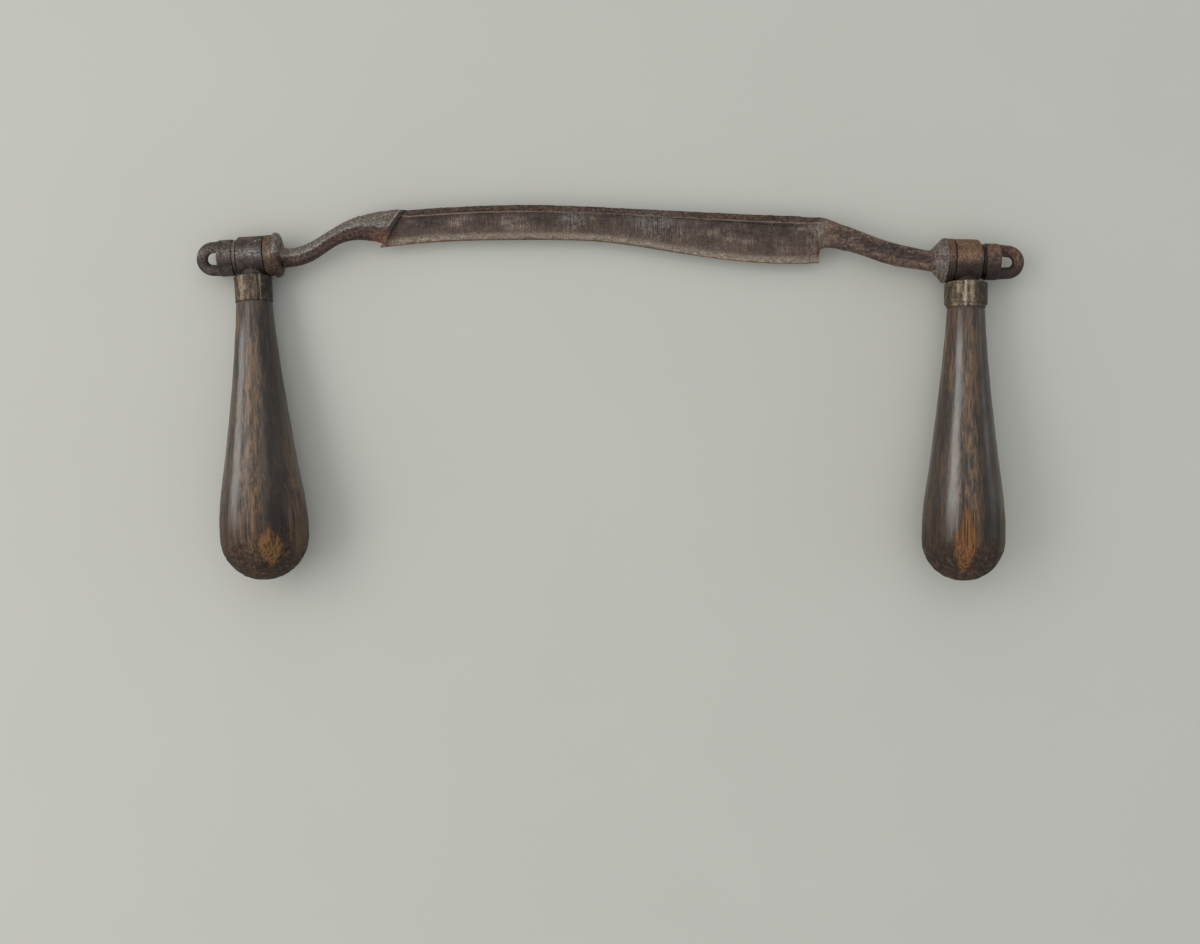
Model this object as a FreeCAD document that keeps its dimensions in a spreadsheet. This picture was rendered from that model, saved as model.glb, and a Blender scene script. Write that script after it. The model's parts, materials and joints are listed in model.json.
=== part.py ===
import FreeCAD, Part
import math
import os

import Sketcher

# Drawknife with two swivelling handles.
#
# The knife lies on a bench as it would be put down: +Z is up, the blade is to +Y with its flat back
# underneath, the handles point to -Y, and +X runs from the left handle to the right one. The knife
# touches the bench with the round collars of the blade and with the fat ends of both handles, so
# each handle is turned up a few degrees about its spindle. The origin is on the bench, under the
# middle of the knife's box. Sizes are in millimetres and degrees.

SIZES = {
    # The forged blade. Stations run from the heel (left) to the toe (right).
    "blade_length": 200.0,
    "heel_setback": 8.2,
    "heel_slant": 33.0,
    "back_drop": 3.2,
    "rib_thick": 6.4,
    "spine_thick": 4.2,
    "rib_step": 0.7,
    "bevel_thick": 1.9,
    "bevel_width": 2.6,
    "edge_thick": 0.35,
    "back_grind": 0.4,
    "back_runout": 4.0,
    # The cranked tangs between the blade and the collars.
    "tang_overlap": 1.5,
    "collar_bite": 0.8,
    "left_tang_drop": 1.3,
    "left_tang_half": 4.9,
    "right_tang_drop": 0.1,
    "right_tang_half": 5.1,
    # Where each handle's axis meets its spindle, and how far the spindle toes in.
    "left_pivot_x": -163.9,
    "left_pivot_y": 0.6,
    "left_toe": 3.6,
    "right_pivot_x": 168.0,
    "right_pivot_y": -1.5,
    "right_toe": 1.6,
    # The hubs: a barrel across, a neck and a stem down into the wood.
    "barrel_half": 6.5,
    "left_barrel_r": 9.35,
    "left_barrel_chamfer": 1.0,
    "right_barrel_r": 10.1,
    "right_barrel_chamfer": 1.8,
    "neck_inset": 0.3,
    "stem_r": 3.9,
    "stem_end": 62.0,
    "stem_tip": 1.5,
    # The seat rings and the collars stand a little proud of the barrels and of each other.
    "ring_proud": 0.15,
    "collar_proud": 0.1,
    "collar_rim": 1.2,
    "left_cone": 3.6,
    "right_cone": 5.4,
    # The spindles.
    "journal_r": 5.0,
    "thread_r": 3.9,
    "thread_pitch": 1.25,
    "thread_tip": 0.6,
    "flat_depth": 0.8,
    # The thrust washers and the eye nuts.
    "washer_r": 8.0,
    "washer_thick": 1.3,
    "nut_r": 8.45,
    "left_nut_length": 7.5,
    "right_nut_length": 7.0,
    "nut_chamfer": 0.9,
    "nut_cap": 1.0,
    "bore_spare": 0.4,
    "eye_inset": 0.1,
    "eye_root": 0.5,
    "left_eye_reach": 10.7,
    "left_bar_r": 2.65,
    "left_bow_r": 5.3,
    "right_eye_reach": 12.2,
    "right_bar_r": 2.8,
    "right_bow_r": 5.0,
    # The ferrules: a straight or swelled band that draws in to its lower end.
    "left_ferrule_length": 12.25,
    "left_ferrule_end_r": 8.5,
    "left_ferrule_swell": 0.4,
    "left_ferrule_straight": 1.5,
    "left_seat_clear": 2.0,
    "right_ferrule_length": 12.1,
    "right_ferrule_end_r": 8.8,
    "right_ferrule_swell": 1.1,
    "right_ferrule_straight": 9.0,
    "right_seat_clear": 0.2,
    "ferrule_wall": 0.8,
    "ferrule_edge": 0.5,
    "pin_r": 1.0,
    # The turned handles. Distances down the handle are measured from the spindle's axis.
    "wood_inset": 0.05,
    "left_waist_r": 12.3,
    "left_shoulder_length": 23.3,
    "left_shoulder_drop": 2.0,
    "left_bulb_at": 130.3,
    "left_bulb_r": 20.6,
    "right_waist_r": 12.2,
    "right_shoulder_length": 22.7,
    "right_shoulder_drop": 1.5,
    "right_bulb_at": 129.7,
    "right_bulb_r": 19.3,
    # Clearances.
    "turn_gap": 0.05,
    "face_gap": 0.05,
    "fixed_gap": 0.02,
    "ferrule_gap": 0.15,
    "stem_gap": 1.0,
    # How far a cut is carried past the metal, and the widest tilt tried when a handle is laid down.
    "cut_margin": 10.0,
    "tilt_limit": 15.0,
    # Worked out below: where the middle of the knife's box is, and how far each handle tips up.
    "datum_x": 0.0,
    "datum_y": 0.0,
    "left_tilt": 4.6,
    "right_tilt": 4.0,
}

# Sizes that follow from others, as expressions on the sheet. The rings and collars follow the
# barrels, the ferrules start clear of the rings, and the nuts cover what is left of the thread. The
# knife rests on its collars, so they are never smaller than the ferrules.
NECK_R = "(Dims.barrel_half - Dims.neck_inset)"
NUT_FACE = "(Dims.barrel_half + Dims.washer_thick)"
FLAT_HEIGHT = "(Dims.thread_r - Dims.flat_depth)"


def ring_r(side):
    return f"(Dims.{side}_barrel_r + Dims.ring_proud)"


def neck_root(side):
    return f"((Dims.journal_r + Dims.{side}_barrel_r) / 2)"


def nut_end(side):
    return f"({NUT_FACE} + Dims.{side}_nut_length)"


def bore_end(side):
    return f"({nut_end(side)} - Dims.nut_cap)"


def spindle_end(side):
    return f"({bore_end(side)} - Dims.bore_spare)"


def ferrule_start(side):
    return f"({ring_r(side)} + Dims.ferrule_gap)"


def ferrule_end(side):
    return f"({ferrule_start(side)} + Dims.{side}_ferrule_length)"


def ferrule_r(side):
    return f"(Dims.{side}_ferrule_end_r + Dims.{side}_ferrule_swell)"


COLLAR_R = (
    f"max({ring_r('left')} + Dims.collar_proud; {ring_r('right')} + Dims.collar_proud; "
    f"{ferrule_r('left')}; {ferrule_r('right')})"
)


def tenon_r(side):
    return f"(Dims.{side}_ferrule_end_r - Dims.ferrule_wall)"


def pin_at(side):
    return f"({ferrule_start(side)} + Dims.{side}_ferrule_length / 2)"


def seat(side):
    """Distance from the pivot in to the collar's face, which the ferrule's side has to clear."""
    return f"({ferrule_r(side)} + Dims.{side}_seat_clear)"


def shoulder(side):
    """Distance down the handle, and radius, where the swelling starts to turn over."""
    along = f"(Dims.{side}_bulb_at - Dims.{side}_shoulder_length)"
    radius = f"(Dims.{side}_bulb_r - Dims.{side}_shoulder_drop)"
    return along, radius


# Height of the spine, height of the edge and width of the rib's outer slope at equal steps from the
# heel to the toe. The edge sits in towards the spine where it has been honed most.
SPINE = (22.1, 23.9, 24.7, 23.6, 21.9, 20.3, 19.1)
EDGE = (5.2, 8.4, 8.9, 7.8, 2.9, -1.5, -2.0)
RIB = (2.6, 2.7, 3.0, 3.3, 3.6, 4.4, 5.3)

# Each tang: share of the way from the collar to the blade, height of the centre line, half width
# across the knife and half thickness. The first station sits inside the collar and is worked out.
LEFT_TANG = (
    (0.16, 0.5, 4.75, 4.8),
    (0.37, 4.2, 5.0, 4.7),
    (0.56, 9.55, 4.9, 4.6),
    (0.75, 13.25, 5.4, 4.5),
    (0.93, 14.5, 6.8, 4.4),
    (1.0, 15.5, 7.0, 4.3),
)
RIGHT_TANG = (
    (0.10, -0.9, 5.1, 5.0),
    (0.28, 0.9, 5.5, 4.9),
    (0.46, 3.5, 5.7, 4.8),
    (0.64, 7.2, 5.9, 4.6),
    (0.82, 10.25, 6.55, 4.5),
    (0.91, 11.55, 7.15, 4.4),
    (1.0, 10.3, 8.8, 4.3),
)
TANG_COLUMNS = ("share", "rise", "half", "thick")

# Corners of a tang's section as shares of its half width and half thickness: a ridge runs along the
# top and the bottom, and along both sides.
TANG_CORNERS = (
    (1.0, 0.0),
    (0.8, 0.66),
    (0.0, 1.0),
    (-0.8, 0.66),
    (-1.0, 0.0),
    (-0.8, -0.66),
    (0.0, -1.0),
    (0.8, -0.66),
)

# Least volume that a cut has to take away, and how many times the range of tilts is halved.
LEAST_CUT = 0.01
TILT_STEPS = 24

doc = FreeCAD.newDocument("drawknife")
sheet = doc.addObject("Spreadsheet::Sheet", "Dims")


def fill_sheet():
    rows = dict(SIZES)
    for step, (spine, edge, rib) in enumerate(zip(SPINE, EDGE, RIB)):
        rows[f"spine_{step}"] = spine
        rows[f"edge_{step}"] = edge
        rows[f"rib_{step}"] = rib
    for side, tang in (("left", LEFT_TANG), ("right", RIGHT_TANG)):
        for step, station in enumerate(tang, 1):
            for column, value in zip(TANG_COLUMNS, station):
                rows[f"{side}_tang_{column}_{step}"] = value
    for row, (name, value) in enumerate(rows.items(), 1):
        sheet.set(f"A{row}", name)
        sheet.set(f"B{row}", str(value))
        sheet.setAlias(f"B{row}", name)
    doc.recompute()


def value(text):
    """The number that an expression on the sheet comes to."""
    result = sheet.evalExpression(text)
    return float(getattr(result, "Value", result))


def new_body(label):
    body = doc.addObject("PartDesign::Body", label)
    body.Label = label
    return body


def new_sketch(body, name, role, offset=None, turn_axis=(0, 0, 1)):
    """A sketch on one of the body's own planes. offset gives expressions for its place and turn."""
    sketch = body.newObject("Sketcher::SketchObject", name)
    plane = next(item for item in body.Origin.OriginFeatures if item.Role == role)
    sketch.AttachmentSupport = (plane, [""])
    sketch.MapMode = "FlatFace"
    if offset:
        turn = FreeCAD.Rotation(FreeCAD.Vector(*turn_axis), 1.0)
        sketch.AttachmentOffset = FreeCAD.Placement(FreeCAD.Vector(0, 0, 0), turn)
        for key, text in offset.items():
            sketch.setExpression("AttachmentOffset." + key, text)
    return sketch


def fix_point(sketch, geometry, point, place):
    """Hold a point of the sketch at the two expressions in place."""
    for kind, text in zip(("DistanceX", "DistanceY"), place):
        constraint = Sketcher.Constraint(kind, -1, 1, geometry, point, value(text))
        index = sketch.addConstraint(constraint)
        sketch.setExpression(f"Constraints[{index}]", text)


def outline(sketch, corners, arcs=None):
    """A closed outline. Side i runs from corner i to the next, and is an arc if arcs names a point on it."""
    arcs = arcs or {}
    points = [FreeCAD.Vector(value(x), value(y), 0) for x, y in corners]
    sides = []
    for index, start in enumerate(points):
        end = points[(index + 1) % len(points)]
        if index in arcs:
            middle = FreeCAD.Vector(value(arcs[index][0]), value(arcs[index][1]), 0)
            sides.append(sketch.addGeometry(Part.Arc(start, middle, end), False))
        else:
            sides.append(sketch.addGeometry(Part.LineSegment(start, end), False))
    starts = [side_start(sketch, side, point) for side, point in zip(sides, points)]
    for index, side in enumerate(sides):
        following = (index + 1) % len(sides)
        end_point = 3 - starts[index]
        sketch.addConstraint(
            Sketcher.Constraint("Coincident", side, end_point, sides[following], starts[following])
        )
    for index, side in enumerate(sides):
        fix_point(sketch, side, starts[index], corners[index])
    for index, place in arcs.items():
        middle = FreeCAD.Vector(value(place[0]), value(place[1]), 0)
        mark = sketch.addGeometry(Part.Point(middle), True)
        sketch.addConstraint(Sketcher.Constraint("PointOnObject", mark, 1, sides[index]))
        fix_point(sketch, mark, 1, place)


def side_start(sketch, side, point):
    """An arc is always kept anticlockwise, so its first end may be either corner."""
    near = sketch.getPoint(side, 1).distanceToPoint(point)
    far = sketch.getPoint(side, 2).distanceToPoint(point)
    return 1 if near <= far else 2


def circle(sketch, radius, centre=("0", "0")):
    place = FreeCAD.Vector(value(centre[0]), value(centre[1]), 0)
    normal = FreeCAD.Vector(0, 0, 1)
    index = sketch.addGeometry(Part.Circle(place, normal, value(radius)), False)
    fix_point(sketch, index, 3, centre)
    size = sketch.addConstraint(Sketcher.Constraint("Radius", index, value(radius)))
    sketch.setExpression(f"Constraints[{size}]", radius)


def turned(body, name, sketch, axis):
    """Turn a half profile round the sketch's own axis, H_Axis or V_Axis."""
    feature = body.newObject("PartDesign::Revolution", name)
    feature.Profile = sketch
    feature.ReferenceAxis = (sketch, [axis])
    feature.Angle = 360.0
    sketch.Visibility = False
    return feature


def cut_across(body, name, sketch):
    """Cut a sketched hole right through the body, both ways from the sketch."""
    doc.recompute()
    before = body.Shape.Volume
    feature = body.newObject("PartDesign::Pocket", name)
    feature.Profile = sketch
    feature.Type = "ThroughAll"
    feature.Midplane = True
    doc.recompute()
    if body.Shape.Volume >= before - LEAST_CUT:
        raise RuntimeError(f"{name} cuts nothing")


def cut_one_way(body, name, sketch, depth, upwards):
    doc.recompute()
    before = body.Shape.Volume
    feature = body.newObject("PartDesign::Pocket", name)
    feature.Profile = sketch
    feature.setExpression("Length", depth)
    feature.Reversed = upwards
    doc.recompute()
    if body.Shape.Volume >= before - LEAST_CUT:
        raise RuntimeError(f"{name} cuts nothing")


# Frames. A side's frame has its origin where the handle's axis meets the spindle's, with local +X
# out along the spindle. The handle group is also turned about the spindle by its tilt.

TURN_OUT = {"left": "180 + Dims.left_toe", "right": "-Dims.right_toe"}


def place_text(x, y, z):
    return f"placement(vector({x}; {y}; {z}); rotation(vector(0; 0; 1); 0))"


def turn_text(axis, angle):
    vector = {"x": "1; 0; 0", "y": "0; 1; 0", "z": "0; 0; 1"}[axis]
    return f"placement(vector(0; 0; 0); rotation(vector({vector}); {angle}))"


def pivot_place(side):
    return place_text(
        f"Dims.{side}_pivot_x - Dims.datum_x",
        f"Dims.{side}_pivot_y - Dims.datum_y",
        COLLAR_R,
    )


def spindle_frame(side):
    return pivot_place(side) + " * " + turn_text("z", TURN_OUT[side])


def handle_frame(side):
    if side == "left":
        turns = (("z", "Dims.left_toe"), ("y", "180"), ("x", "Dims.left_tilt"))
    else:
        turns = (("z", "-Dims.right_toe"), ("x", "-Dims.right_tilt"))
    return " * ".join([pivot_place(side)] + [turn_text(axis, angle) for axis, angle in turns])


def spindle_offset(side, lift="0"):
    """Sketch place, on the blade's own XY plane, of a side's spindle frame."""
    return {
        "Base.x": f"Dims.{side}_pivot_x",
        "Base.y": f"Dims.{side}_pivot_y",
        "Base.z": lift,
        "Rotation.Angle": TURN_OUT[side],
    }


# The blade: one forging with its two tangs, collars and spindles.


def blade_section(body, step):
    """One section across the blade: flat back, outer slope up to the rib, hollow face, edge bevel."""
    last = len(SPINE) - 1
    slant = "Dims.heel_slant" if step == 0 else "0"
    setback = "Dims.heel_setback" if step == 0 else "0"
    offset = {
        "Base.z": f"Dims.blade_length * ({step} / {last} - 0.5) - {setback}",
        "Rotation.Angle": f"-{slant}" if step == 0 else "0",
    }
    sketch = new_sketch(body, f"blade_section_{step}", "YZ_Plane", offset, turn_axis=(0, 1, 0))
    lean = f"cos({slant} * 1 deg)"
    spine = f"Dims.spine_{step}"
    edge = f"Dims.edge_{step}"
    crest = f"({spine} - Dims.rib_{step})"
    floor = "-Dims.back_drop"
    corners = [
        (spine, f"{floor} - Dims.back_grind"),
        (spine, f"{floor} + Dims.spine_thick"),
        (crest, f"{floor} + Dims.rib_thick"),
        (f"({crest} - Dims.rib_step)", f"{floor} + Dims.rib_thick - Dims.rib_step"),
        (f"({edge} + Dims.bevel_width)", f"{floor} + Dims.bevel_thick"),
        (edge, f"{floor} + Dims.edge_thick"),
        (edge, f"{floor} - Dims.back_grind"),
    ]
    outline(sketch, [(f"{across} / {lean}", height) for across, height in corners])
    return sketch


def tang_section(body, side, step, station):
    """One eight-sided section of a tang. station holds expressions for x, y, the half sizes and the slant."""
    along, rise, half, thick, slant = station
    offset = {"Base.z": along, "Rotation.Angle": f"-{slant}"}
    sketch = new_sketch(body, f"{side}_tang_section_{step}", "YZ_Plane", offset, turn_axis=(0, 1, 0))
    lean = f"cos({slant} * 1 deg)"
    corners = []
    for across, up in TANG_CORNERS:
        corners.append((f"({rise} + {across} * {half}) / {lean}", f"{up} * {thick}"))
    outline(sketch, corners)
    return sketch


def tang_stations(side, tang):
    """Expressions for every section of a tang, from inside its collar to inside the blade's end."""
    sign = {"left": 1, "right": -1}[side]
    reach = f"({seat(side)} + Dims.{side}_cone)"
    run = f"({reach} - Dims.collar_bite) * cos(Dims.{side}_toe * 1 deg)"
    start_x = f"(Dims.{side}_pivot_x + {sign} * {run})"
    start_y = f"(Dims.{side}_pivot_y + {reach} * sin(Dims.{side}_toe * 1 deg) - Dims.{side}_tang_drop)"
    if side == "left":
        end_x = "(-Dims.blade_length / 2 - Dims.heel_setback + Dims.tang_overlap)"
        end_slant = "Dims.heel_slant"
    else:
        end_x = "(Dims.blade_length / 2 - Dims.tang_overlap)"
        end_slant = "0"
    half = f"Dims.{side}_tang_half"
    stations = [(start_x, start_y, half, half, "0")]
    for step in range(1, len(tang) + 1):
        share, rise, width, thick = (f"Dims.{side}_tang_{column}_{step}" for column in TANG_COLUMNS)
        along = f"{start_x} + {share} * ({end_x} - {start_x})"
        slant = end_slant if step == len(tang) else "0"
        stations.append((along, rise, width, thick, slant))
    return stations


def loft(body, name, sections):
    feature = body.newObject("PartDesign::AdditiveLoft", name)
    feature.Profile = sections[0]
    feature.Sections = sections[1:]
    for section in sections:
        section.Visibility = False
    return feature


def spindle_sketch(body, side):
    """Half profile of a collar and its spindle: cone, rim, seat, plain journal, thread."""
    sketch = new_sketch(body, f"{side}_spindle_profile", "XY_Plane", spindle_offset(side))
    face = f"-{seat(side)}"
    step = "Dims.barrel_half - Dims.face_gap"
    corners = [
        (f"{face} - Dims.{side}_cone", "0"),
        (f"{face} - Dims.{side}_cone", f"Dims.{side}_tang_half"),
        (f"{face} - Dims.collar_rim", COLLAR_R),
        (face, COLLAR_R),
        (face, "Dims.journal_r"),
        (step, "Dims.journal_r"),
        (step, "Dims.thread_r"),
        (f"{spindle_end(side)} - Dims.thread_tip", "Dims.thread_r"),
        (spindle_end(side), "Dims.thread_r - Dims.thread_tip"),
        (spindle_end(side), "0"),
    ]
    outline(sketch, corners)
    return sketch


def rectangle(sketch, low, high):
    corners = [(low[0], low[1]), (high[0], low[1]), (high[0], high[1]), (low[0], high[1])]
    outline(sketch, corners)


def cut_spindle_flat(body, side):
    """A flat along the thread keeps the thrust washer from turning with the nut."""
    offset = spindle_offset(side, FLAT_HEIGHT)
    sketch = new_sketch(body, f"{side}_spindle_flat_outline", "XY_Plane", offset)
    low = ("Dims.barrel_half - Dims.face_gap", "-2 * Dims.thread_r")
    rectangle(sketch, low, (f"{spindle_end(side)} + Dims.cut_margin", "2 * Dims.thread_r"))
    cut_one_way(body, f"{side}_spindle_flat", sketch, "2 * Dims.flat_depth", True)


def grind_back(body):
    """The back is one true plane from the heel to the toe, a little way into both tangs."""
    sketch = new_sketch(body, "back_outline", "XY_Plane", {"Base.z": "-Dims.back_drop"})
    half = "(Dims.blade_length / 2 + Dims.back_runout)"
    low = (f"-{half} - Dims.heel_setback / 2", f"Dims.edge_{EDGE.index(min(EDGE))} - Dims.cut_margin")
    high = (half, f"Dims.spine_{SPINE.index(max(SPINE))} + Dims.cut_margin")
    rectangle(sketch, low, high)
    cut_one_way(body, "back_grinding", sketch, "Dims.rib_thick", False)


def make_blade():
    body = new_body("blade")
    loft(body, "blade_loft", [blade_section(body, step) for step in range(len(SPINE))])
    for side, tang in (("left", LEFT_TANG), ("right", RIGHT_TANG)):
        sections = []
        for step, station in enumerate(tang_stations(side, tang)):
            sections.append(tang_section(body, side, step, station))
        loft(body, f"{side}_tang_loft", sections)
    doc.recompute()
    grind_back(body)
    for side in ("left", "right"):
        turned(body, f"{side}_spindle", spindle_sketch(body, side), "H_Axis")
        cut_spindle_flat(body, side)
    frame = place_text("-Dims.datum_x", "-Dims.datum_y", COLLAR_R)
    body.setExpression("Placement", frame)
    return body


def make_seat_ring(side):
    """A loose ring on the journal, between the collar and the hub."""
    body = new_body(f"{side}_seat_ring")
    sketch = new_sketch(body, f"{side}_ring_profile", "XY_Plane")
    low = (f"-{seat(side)}", "Dims.journal_r + Dims.fixed_gap")
    high = ("-Dims.barrel_half - Dims.face_gap", ring_r(side))
    rectangle(sketch, low, high)
    turned(body, f"{side}_ring_turning", sketch, "H_Axis")
    body.setExpression("Placement", spindle_frame(side))
    return body


def make_hub(side):
    """A T: the barrel turns on the spindle, the neck meets the ferrule, the stem goes into the wood."""
    body = new_body(f"{side}_hub")
    barrel = new_sketch(body, f"{side}_barrel_profile", "XY_Plane")
    bore = "Dims.journal_r + Dims.turn_gap"
    corners = [
        ("-Dims.barrel_half", bore),
        ("-Dims.barrel_half", f"Dims.{side}_barrel_r"),
        (f"Dims.barrel_half - Dims.{side}_barrel_chamfer", f"Dims.{side}_barrel_r"),
        ("Dims.barrel_half", f"Dims.{side}_barrel_r - Dims.{side}_barrel_chamfer"),
        ("Dims.barrel_half", bore),
    ]
    outline(barrel, corners)
    turned(body, f"{side}_barrel", barrel, "H_Axis")
    stem = new_sketch(body, f"{side}_stem_profile", "XY_Plane")
    corners = [
        ("0", f"-{neck_root(side)}"),
        (NECK_R, f"-{neck_root(side)}"),
        (NECK_R, f"-{ferrule_start(side)}"),
        ("Dims.stem_r", f"-{ferrule_start(side)}"),
        ("Dims.stem_r", "-Dims.stem_end + Dims.stem_tip"),
        ("Dims.stem_r - Dims.stem_tip", "-Dims.stem_end"),
        ("0", "-Dims.stem_end"),
    ]
    outline(stem, corners)
    turned(body, f"{side}_stem", stem, "V_Axis")
    cut_pin_hole(body, side)
    body.setExpression("Placement", handle_frame(side))
    return body


def cut_pin_hole(body, side):
    """The hole for the ferrule's cross pin."""
    sketch = new_sketch(body, f"{body.Name}_pin_hole_outline", "YZ_Plane")
    circle(sketch, "Dims.pin_r + Dims.fixed_gap", (f"-{pin_at(side)}", "0"))
    cut_across(body, f"{body.Name}_pin_hole", sketch)


def make_ferrule(side):
    body = new_body(f"{side}_ferrule")
    sketch = new_sketch(body, f"{side}_ferrule_profile", "XY_Plane")
    bore = f"{tenon_r(side)} + Dims.fixed_gap"
    top = f"-{ferrule_start(side)}"
    end = f"-{ferrule_end(side)}"
    corners = [
        (bore, top),
        (f"{ferrule_r(side)} - Dims.ferrule_edge", top),
        (ferrule_r(side), f"{top} - Dims.ferrule_edge"),
        (ferrule_r(side), f"{top} - Dims.ferrule_edge - Dims.{side}_ferrule_straight"),
        (f"Dims.{side}_ferrule_end_r", end),
        (bore, end),
    ]
    outline(sketch, corners)
    turned(body, f"{side}_ferrule_turning", sketch, "V_Axis")
    cut_pin_hole(body, side)
    body.setExpression("Placement", handle_frame(side))
    return body


def make_handle(side):
    """The wood: a tenon inside the ferrule, a slim waist, a swelling shoulder and a round end."""
    body = new_body(f"{side}_handle")
    sketch = new_sketch(body, f"{side}_handle_profile", "XY_Plane")
    bore = "(Dims.stem_r + Dims.fixed_gap)"
    hole_end = "-(Dims.stem_end + Dims.stem_gap)"
    neck = f"-{ferrule_end(side)}"
    bulb_at = f"Dims.{side}_bulb_at"
    bulb_r = f"Dims.{side}_bulb_r"
    shoulder_at, shoulder_r = shoulder(side)
    corners = [
        (bore, f"-{ferrule_start(side)}"),
        (tenon_r(side), f"-{ferrule_start(side)}"),
        (tenon_r(side), neck),
        (f"Dims.{side}_ferrule_end_r - Dims.wood_inset", neck),
        (shoulder_r, f"-{shoulder_at}"),
        (bulb_r, f"-{bulb_at}"),
        ("0", f"-({bulb_at} + {bulb_r})"),
        ("0", hole_end),
        (bore, hole_end),
    ]
    # A long hollow side, a crown that levels out at the fattest place, and a quarter circle. A
    # circle falls a quarter of its whole drop in the first half of a short arc.
    arcs = {
        3: (f"Dims.{side}_waist_r", f"({neck} - {shoulder_at}) / 2"),
        4: (f"{bulb_r} - Dims.{side}_shoulder_drop / 4", f"-({bulb_at} + {shoulder_at}) / 2"),
        5: (f"{bulb_r} * cos(45 deg)", f"-({bulb_at} + {bulb_r} * sin(45 deg))"),
    }
    outline(sketch, corners, arcs)
    turned(body, f"{side}_handle_turning", sketch, "V_Axis")
    cut_pin_hole(body, side)
    body.setExpression("Placement", handle_frame(side))
    return body


def make_ferrule_pin(side):
    """A cross pin through the ferrule, the wood and the stem, filed off inside the ferrule's taper."""
    body = new_body(f"{side}_ferrule_pin")
    sketch = new_sketch(body, f"{side}_pin_outline", "YZ_Plane")
    circle(sketch, "Dims.pin_r", (f"-{pin_at(side)}", "0"))
    pad = body.newObject("PartDesign::Pad", f"{side}_pin")
    pad.Profile = sketch
    pad.Midplane = True
    pad.setExpression("Length", f"2 * Dims.{side}_ferrule_end_r")
    body.setExpression("Placement", handle_frame(side))
    return body


def make_thrust_washer(side):
    """A washer with a flat in its bore, which slides on the thread but can't turn."""
    body = new_body(f"{side}_thrust_washer")
    offset = {"Base.z": "Dims.barrel_half + Dims.face_gap"}
    sketch = new_sketch(body, f"{side}_washer_outline", "YZ_Plane", offset)
    circle(sketch, "Dims.washer_r")
    bore = "(Dims.thread_r + Dims.turn_gap)"
    height = f"({FLAT_HEIGHT} + Dims.turn_gap)"
    chord = f"sqrt({bore} * {bore} - {height} * {height})"
    outline(sketch, [(f"-{chord}", height), (chord, height)], {1: ("0", f"-{bore}")})
    pad = body.newObject("PartDesign::Pad", f"{side}_washer")
    pad.Profile = sketch
    pad.setExpression("Length", "Dims.washer_thick - Dims.face_gap")
    body.setExpression("Placement", spindle_frame(side))
    return body


def eye_half(side):
    """Distance from the nut's axis to the middle of the eye's bar, where it leaves the nut."""
    return f"(Dims.nut_r - Dims.eye_inset - Dims.{side}_bar_r)"


def eye_path(body, side):
    """Middle line of the eye's bow: two sides that close in a little on one round end."""
    sketch = new_sketch(body, f"{side}_eye_path", "XY_Plane")
    root = f"({nut_end(side)} - Dims.eye_root)"
    bow = f"Dims.{side}_bow_r"
    half = eye_half(side)
    centre = f"({nut_end(side)} + Dims.{side}_eye_reach - Dims.{side}_bar_r - {bow})"
    run = f"({centre} - {root})"
    slope = f"(asin({bow} / sqrt({run} * {run} + {half} * {half})) - atan({half} / {run}))"
    across = f"{bow} * cos({slope})"
    along = f"{centre} - {bow} * sin({slope})"
    places = [(root, half), (along, across), (along, f"-({across})"), (root, f"-{half}")]
    tip = (f"{centre} + {bow}", "0")
    first, second, third, fourth = (FreeCAD.Vector(value(x), value(y), 0) for x, y in places)
    middle = FreeCAD.Vector(value(tip[0]), 0, 0)
    upper = sketch.addGeometry(Part.LineSegment(first, second), False)
    round_end = sketch.addGeometry(Part.Arc(second, middle, third), False)
    lower = sketch.addGeometry(Part.LineSegment(third, fourth), False)
    start = side_start(sketch, round_end, second)
    sketch.addConstraint(Sketcher.Constraint("Coincident", upper, 2, round_end, start))
    sketch.addConstraint(Sketcher.Constraint("Coincident", round_end, 3 - start, lower, 1))
    fix_point(sketch, upper, 1, places[0])
    fix_point(sketch, upper, 2, places[1])
    fix_point(sketch, lower, 1, places[2])
    fix_point(sketch, lower, 2, places[3])
    mark = sketch.addGeometry(Part.Point(middle), True)
    sketch.addConstraint(Sketcher.Constraint("PointOnObject", mark, 1, round_end))
    fix_point(sketch, mark, 1, tip)
    return sketch


def make_eye_nut(side):
    """A round nut with a blind thread and a hanging eye, a bow of round bar, on its end."""
    body = new_body(f"{side}_eye_nut")
    offset = {"Base.z": f"{nut_end(side)} - Dims.eye_root"}
    bar = new_sketch(body, f"{side}_eye_bar", "YZ_Plane", offset)
    circle(bar, f"Dims.{side}_bar_r", (eye_half(side), "0"))
    path = eye_path(body, side)
    doc.recompute()
    bow = body.newObject("PartDesign::AdditivePipe", f"{side}_eye")
    bow.Profile = bar
    bow.Spine = path
    doc.recompute()
    turning = new_sketch(body, f"{side}_nut_profile", "XY_Plane")
    bore = "Dims.thread_r + Dims.turn_gap"
    corners = [
        (NUT_FACE, bore),
        (NUT_FACE, "Dims.nut_r"),
        (f"{nut_end(side)} - Dims.nut_chamfer", "Dims.nut_r"),
        (nut_end(side), "Dims.nut_r - Dims.nut_chamfer"),
        (nut_end(side), "0"),
        (bore_end(side), "0"),
        (bore_end(side), bore),
    ]
    outline(turning, corners)
    turned(body, f"{side}_nut", turning, "H_Axis")
    body.setExpression("Placement", spindle_frame(side))
    return body


# Putting the knife down: tip each handle until its fat end meets the bench, then centre the whole.


def lowest(body):
    return body.Shape.optimalBoundingBox(False, False).ZMin


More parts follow.
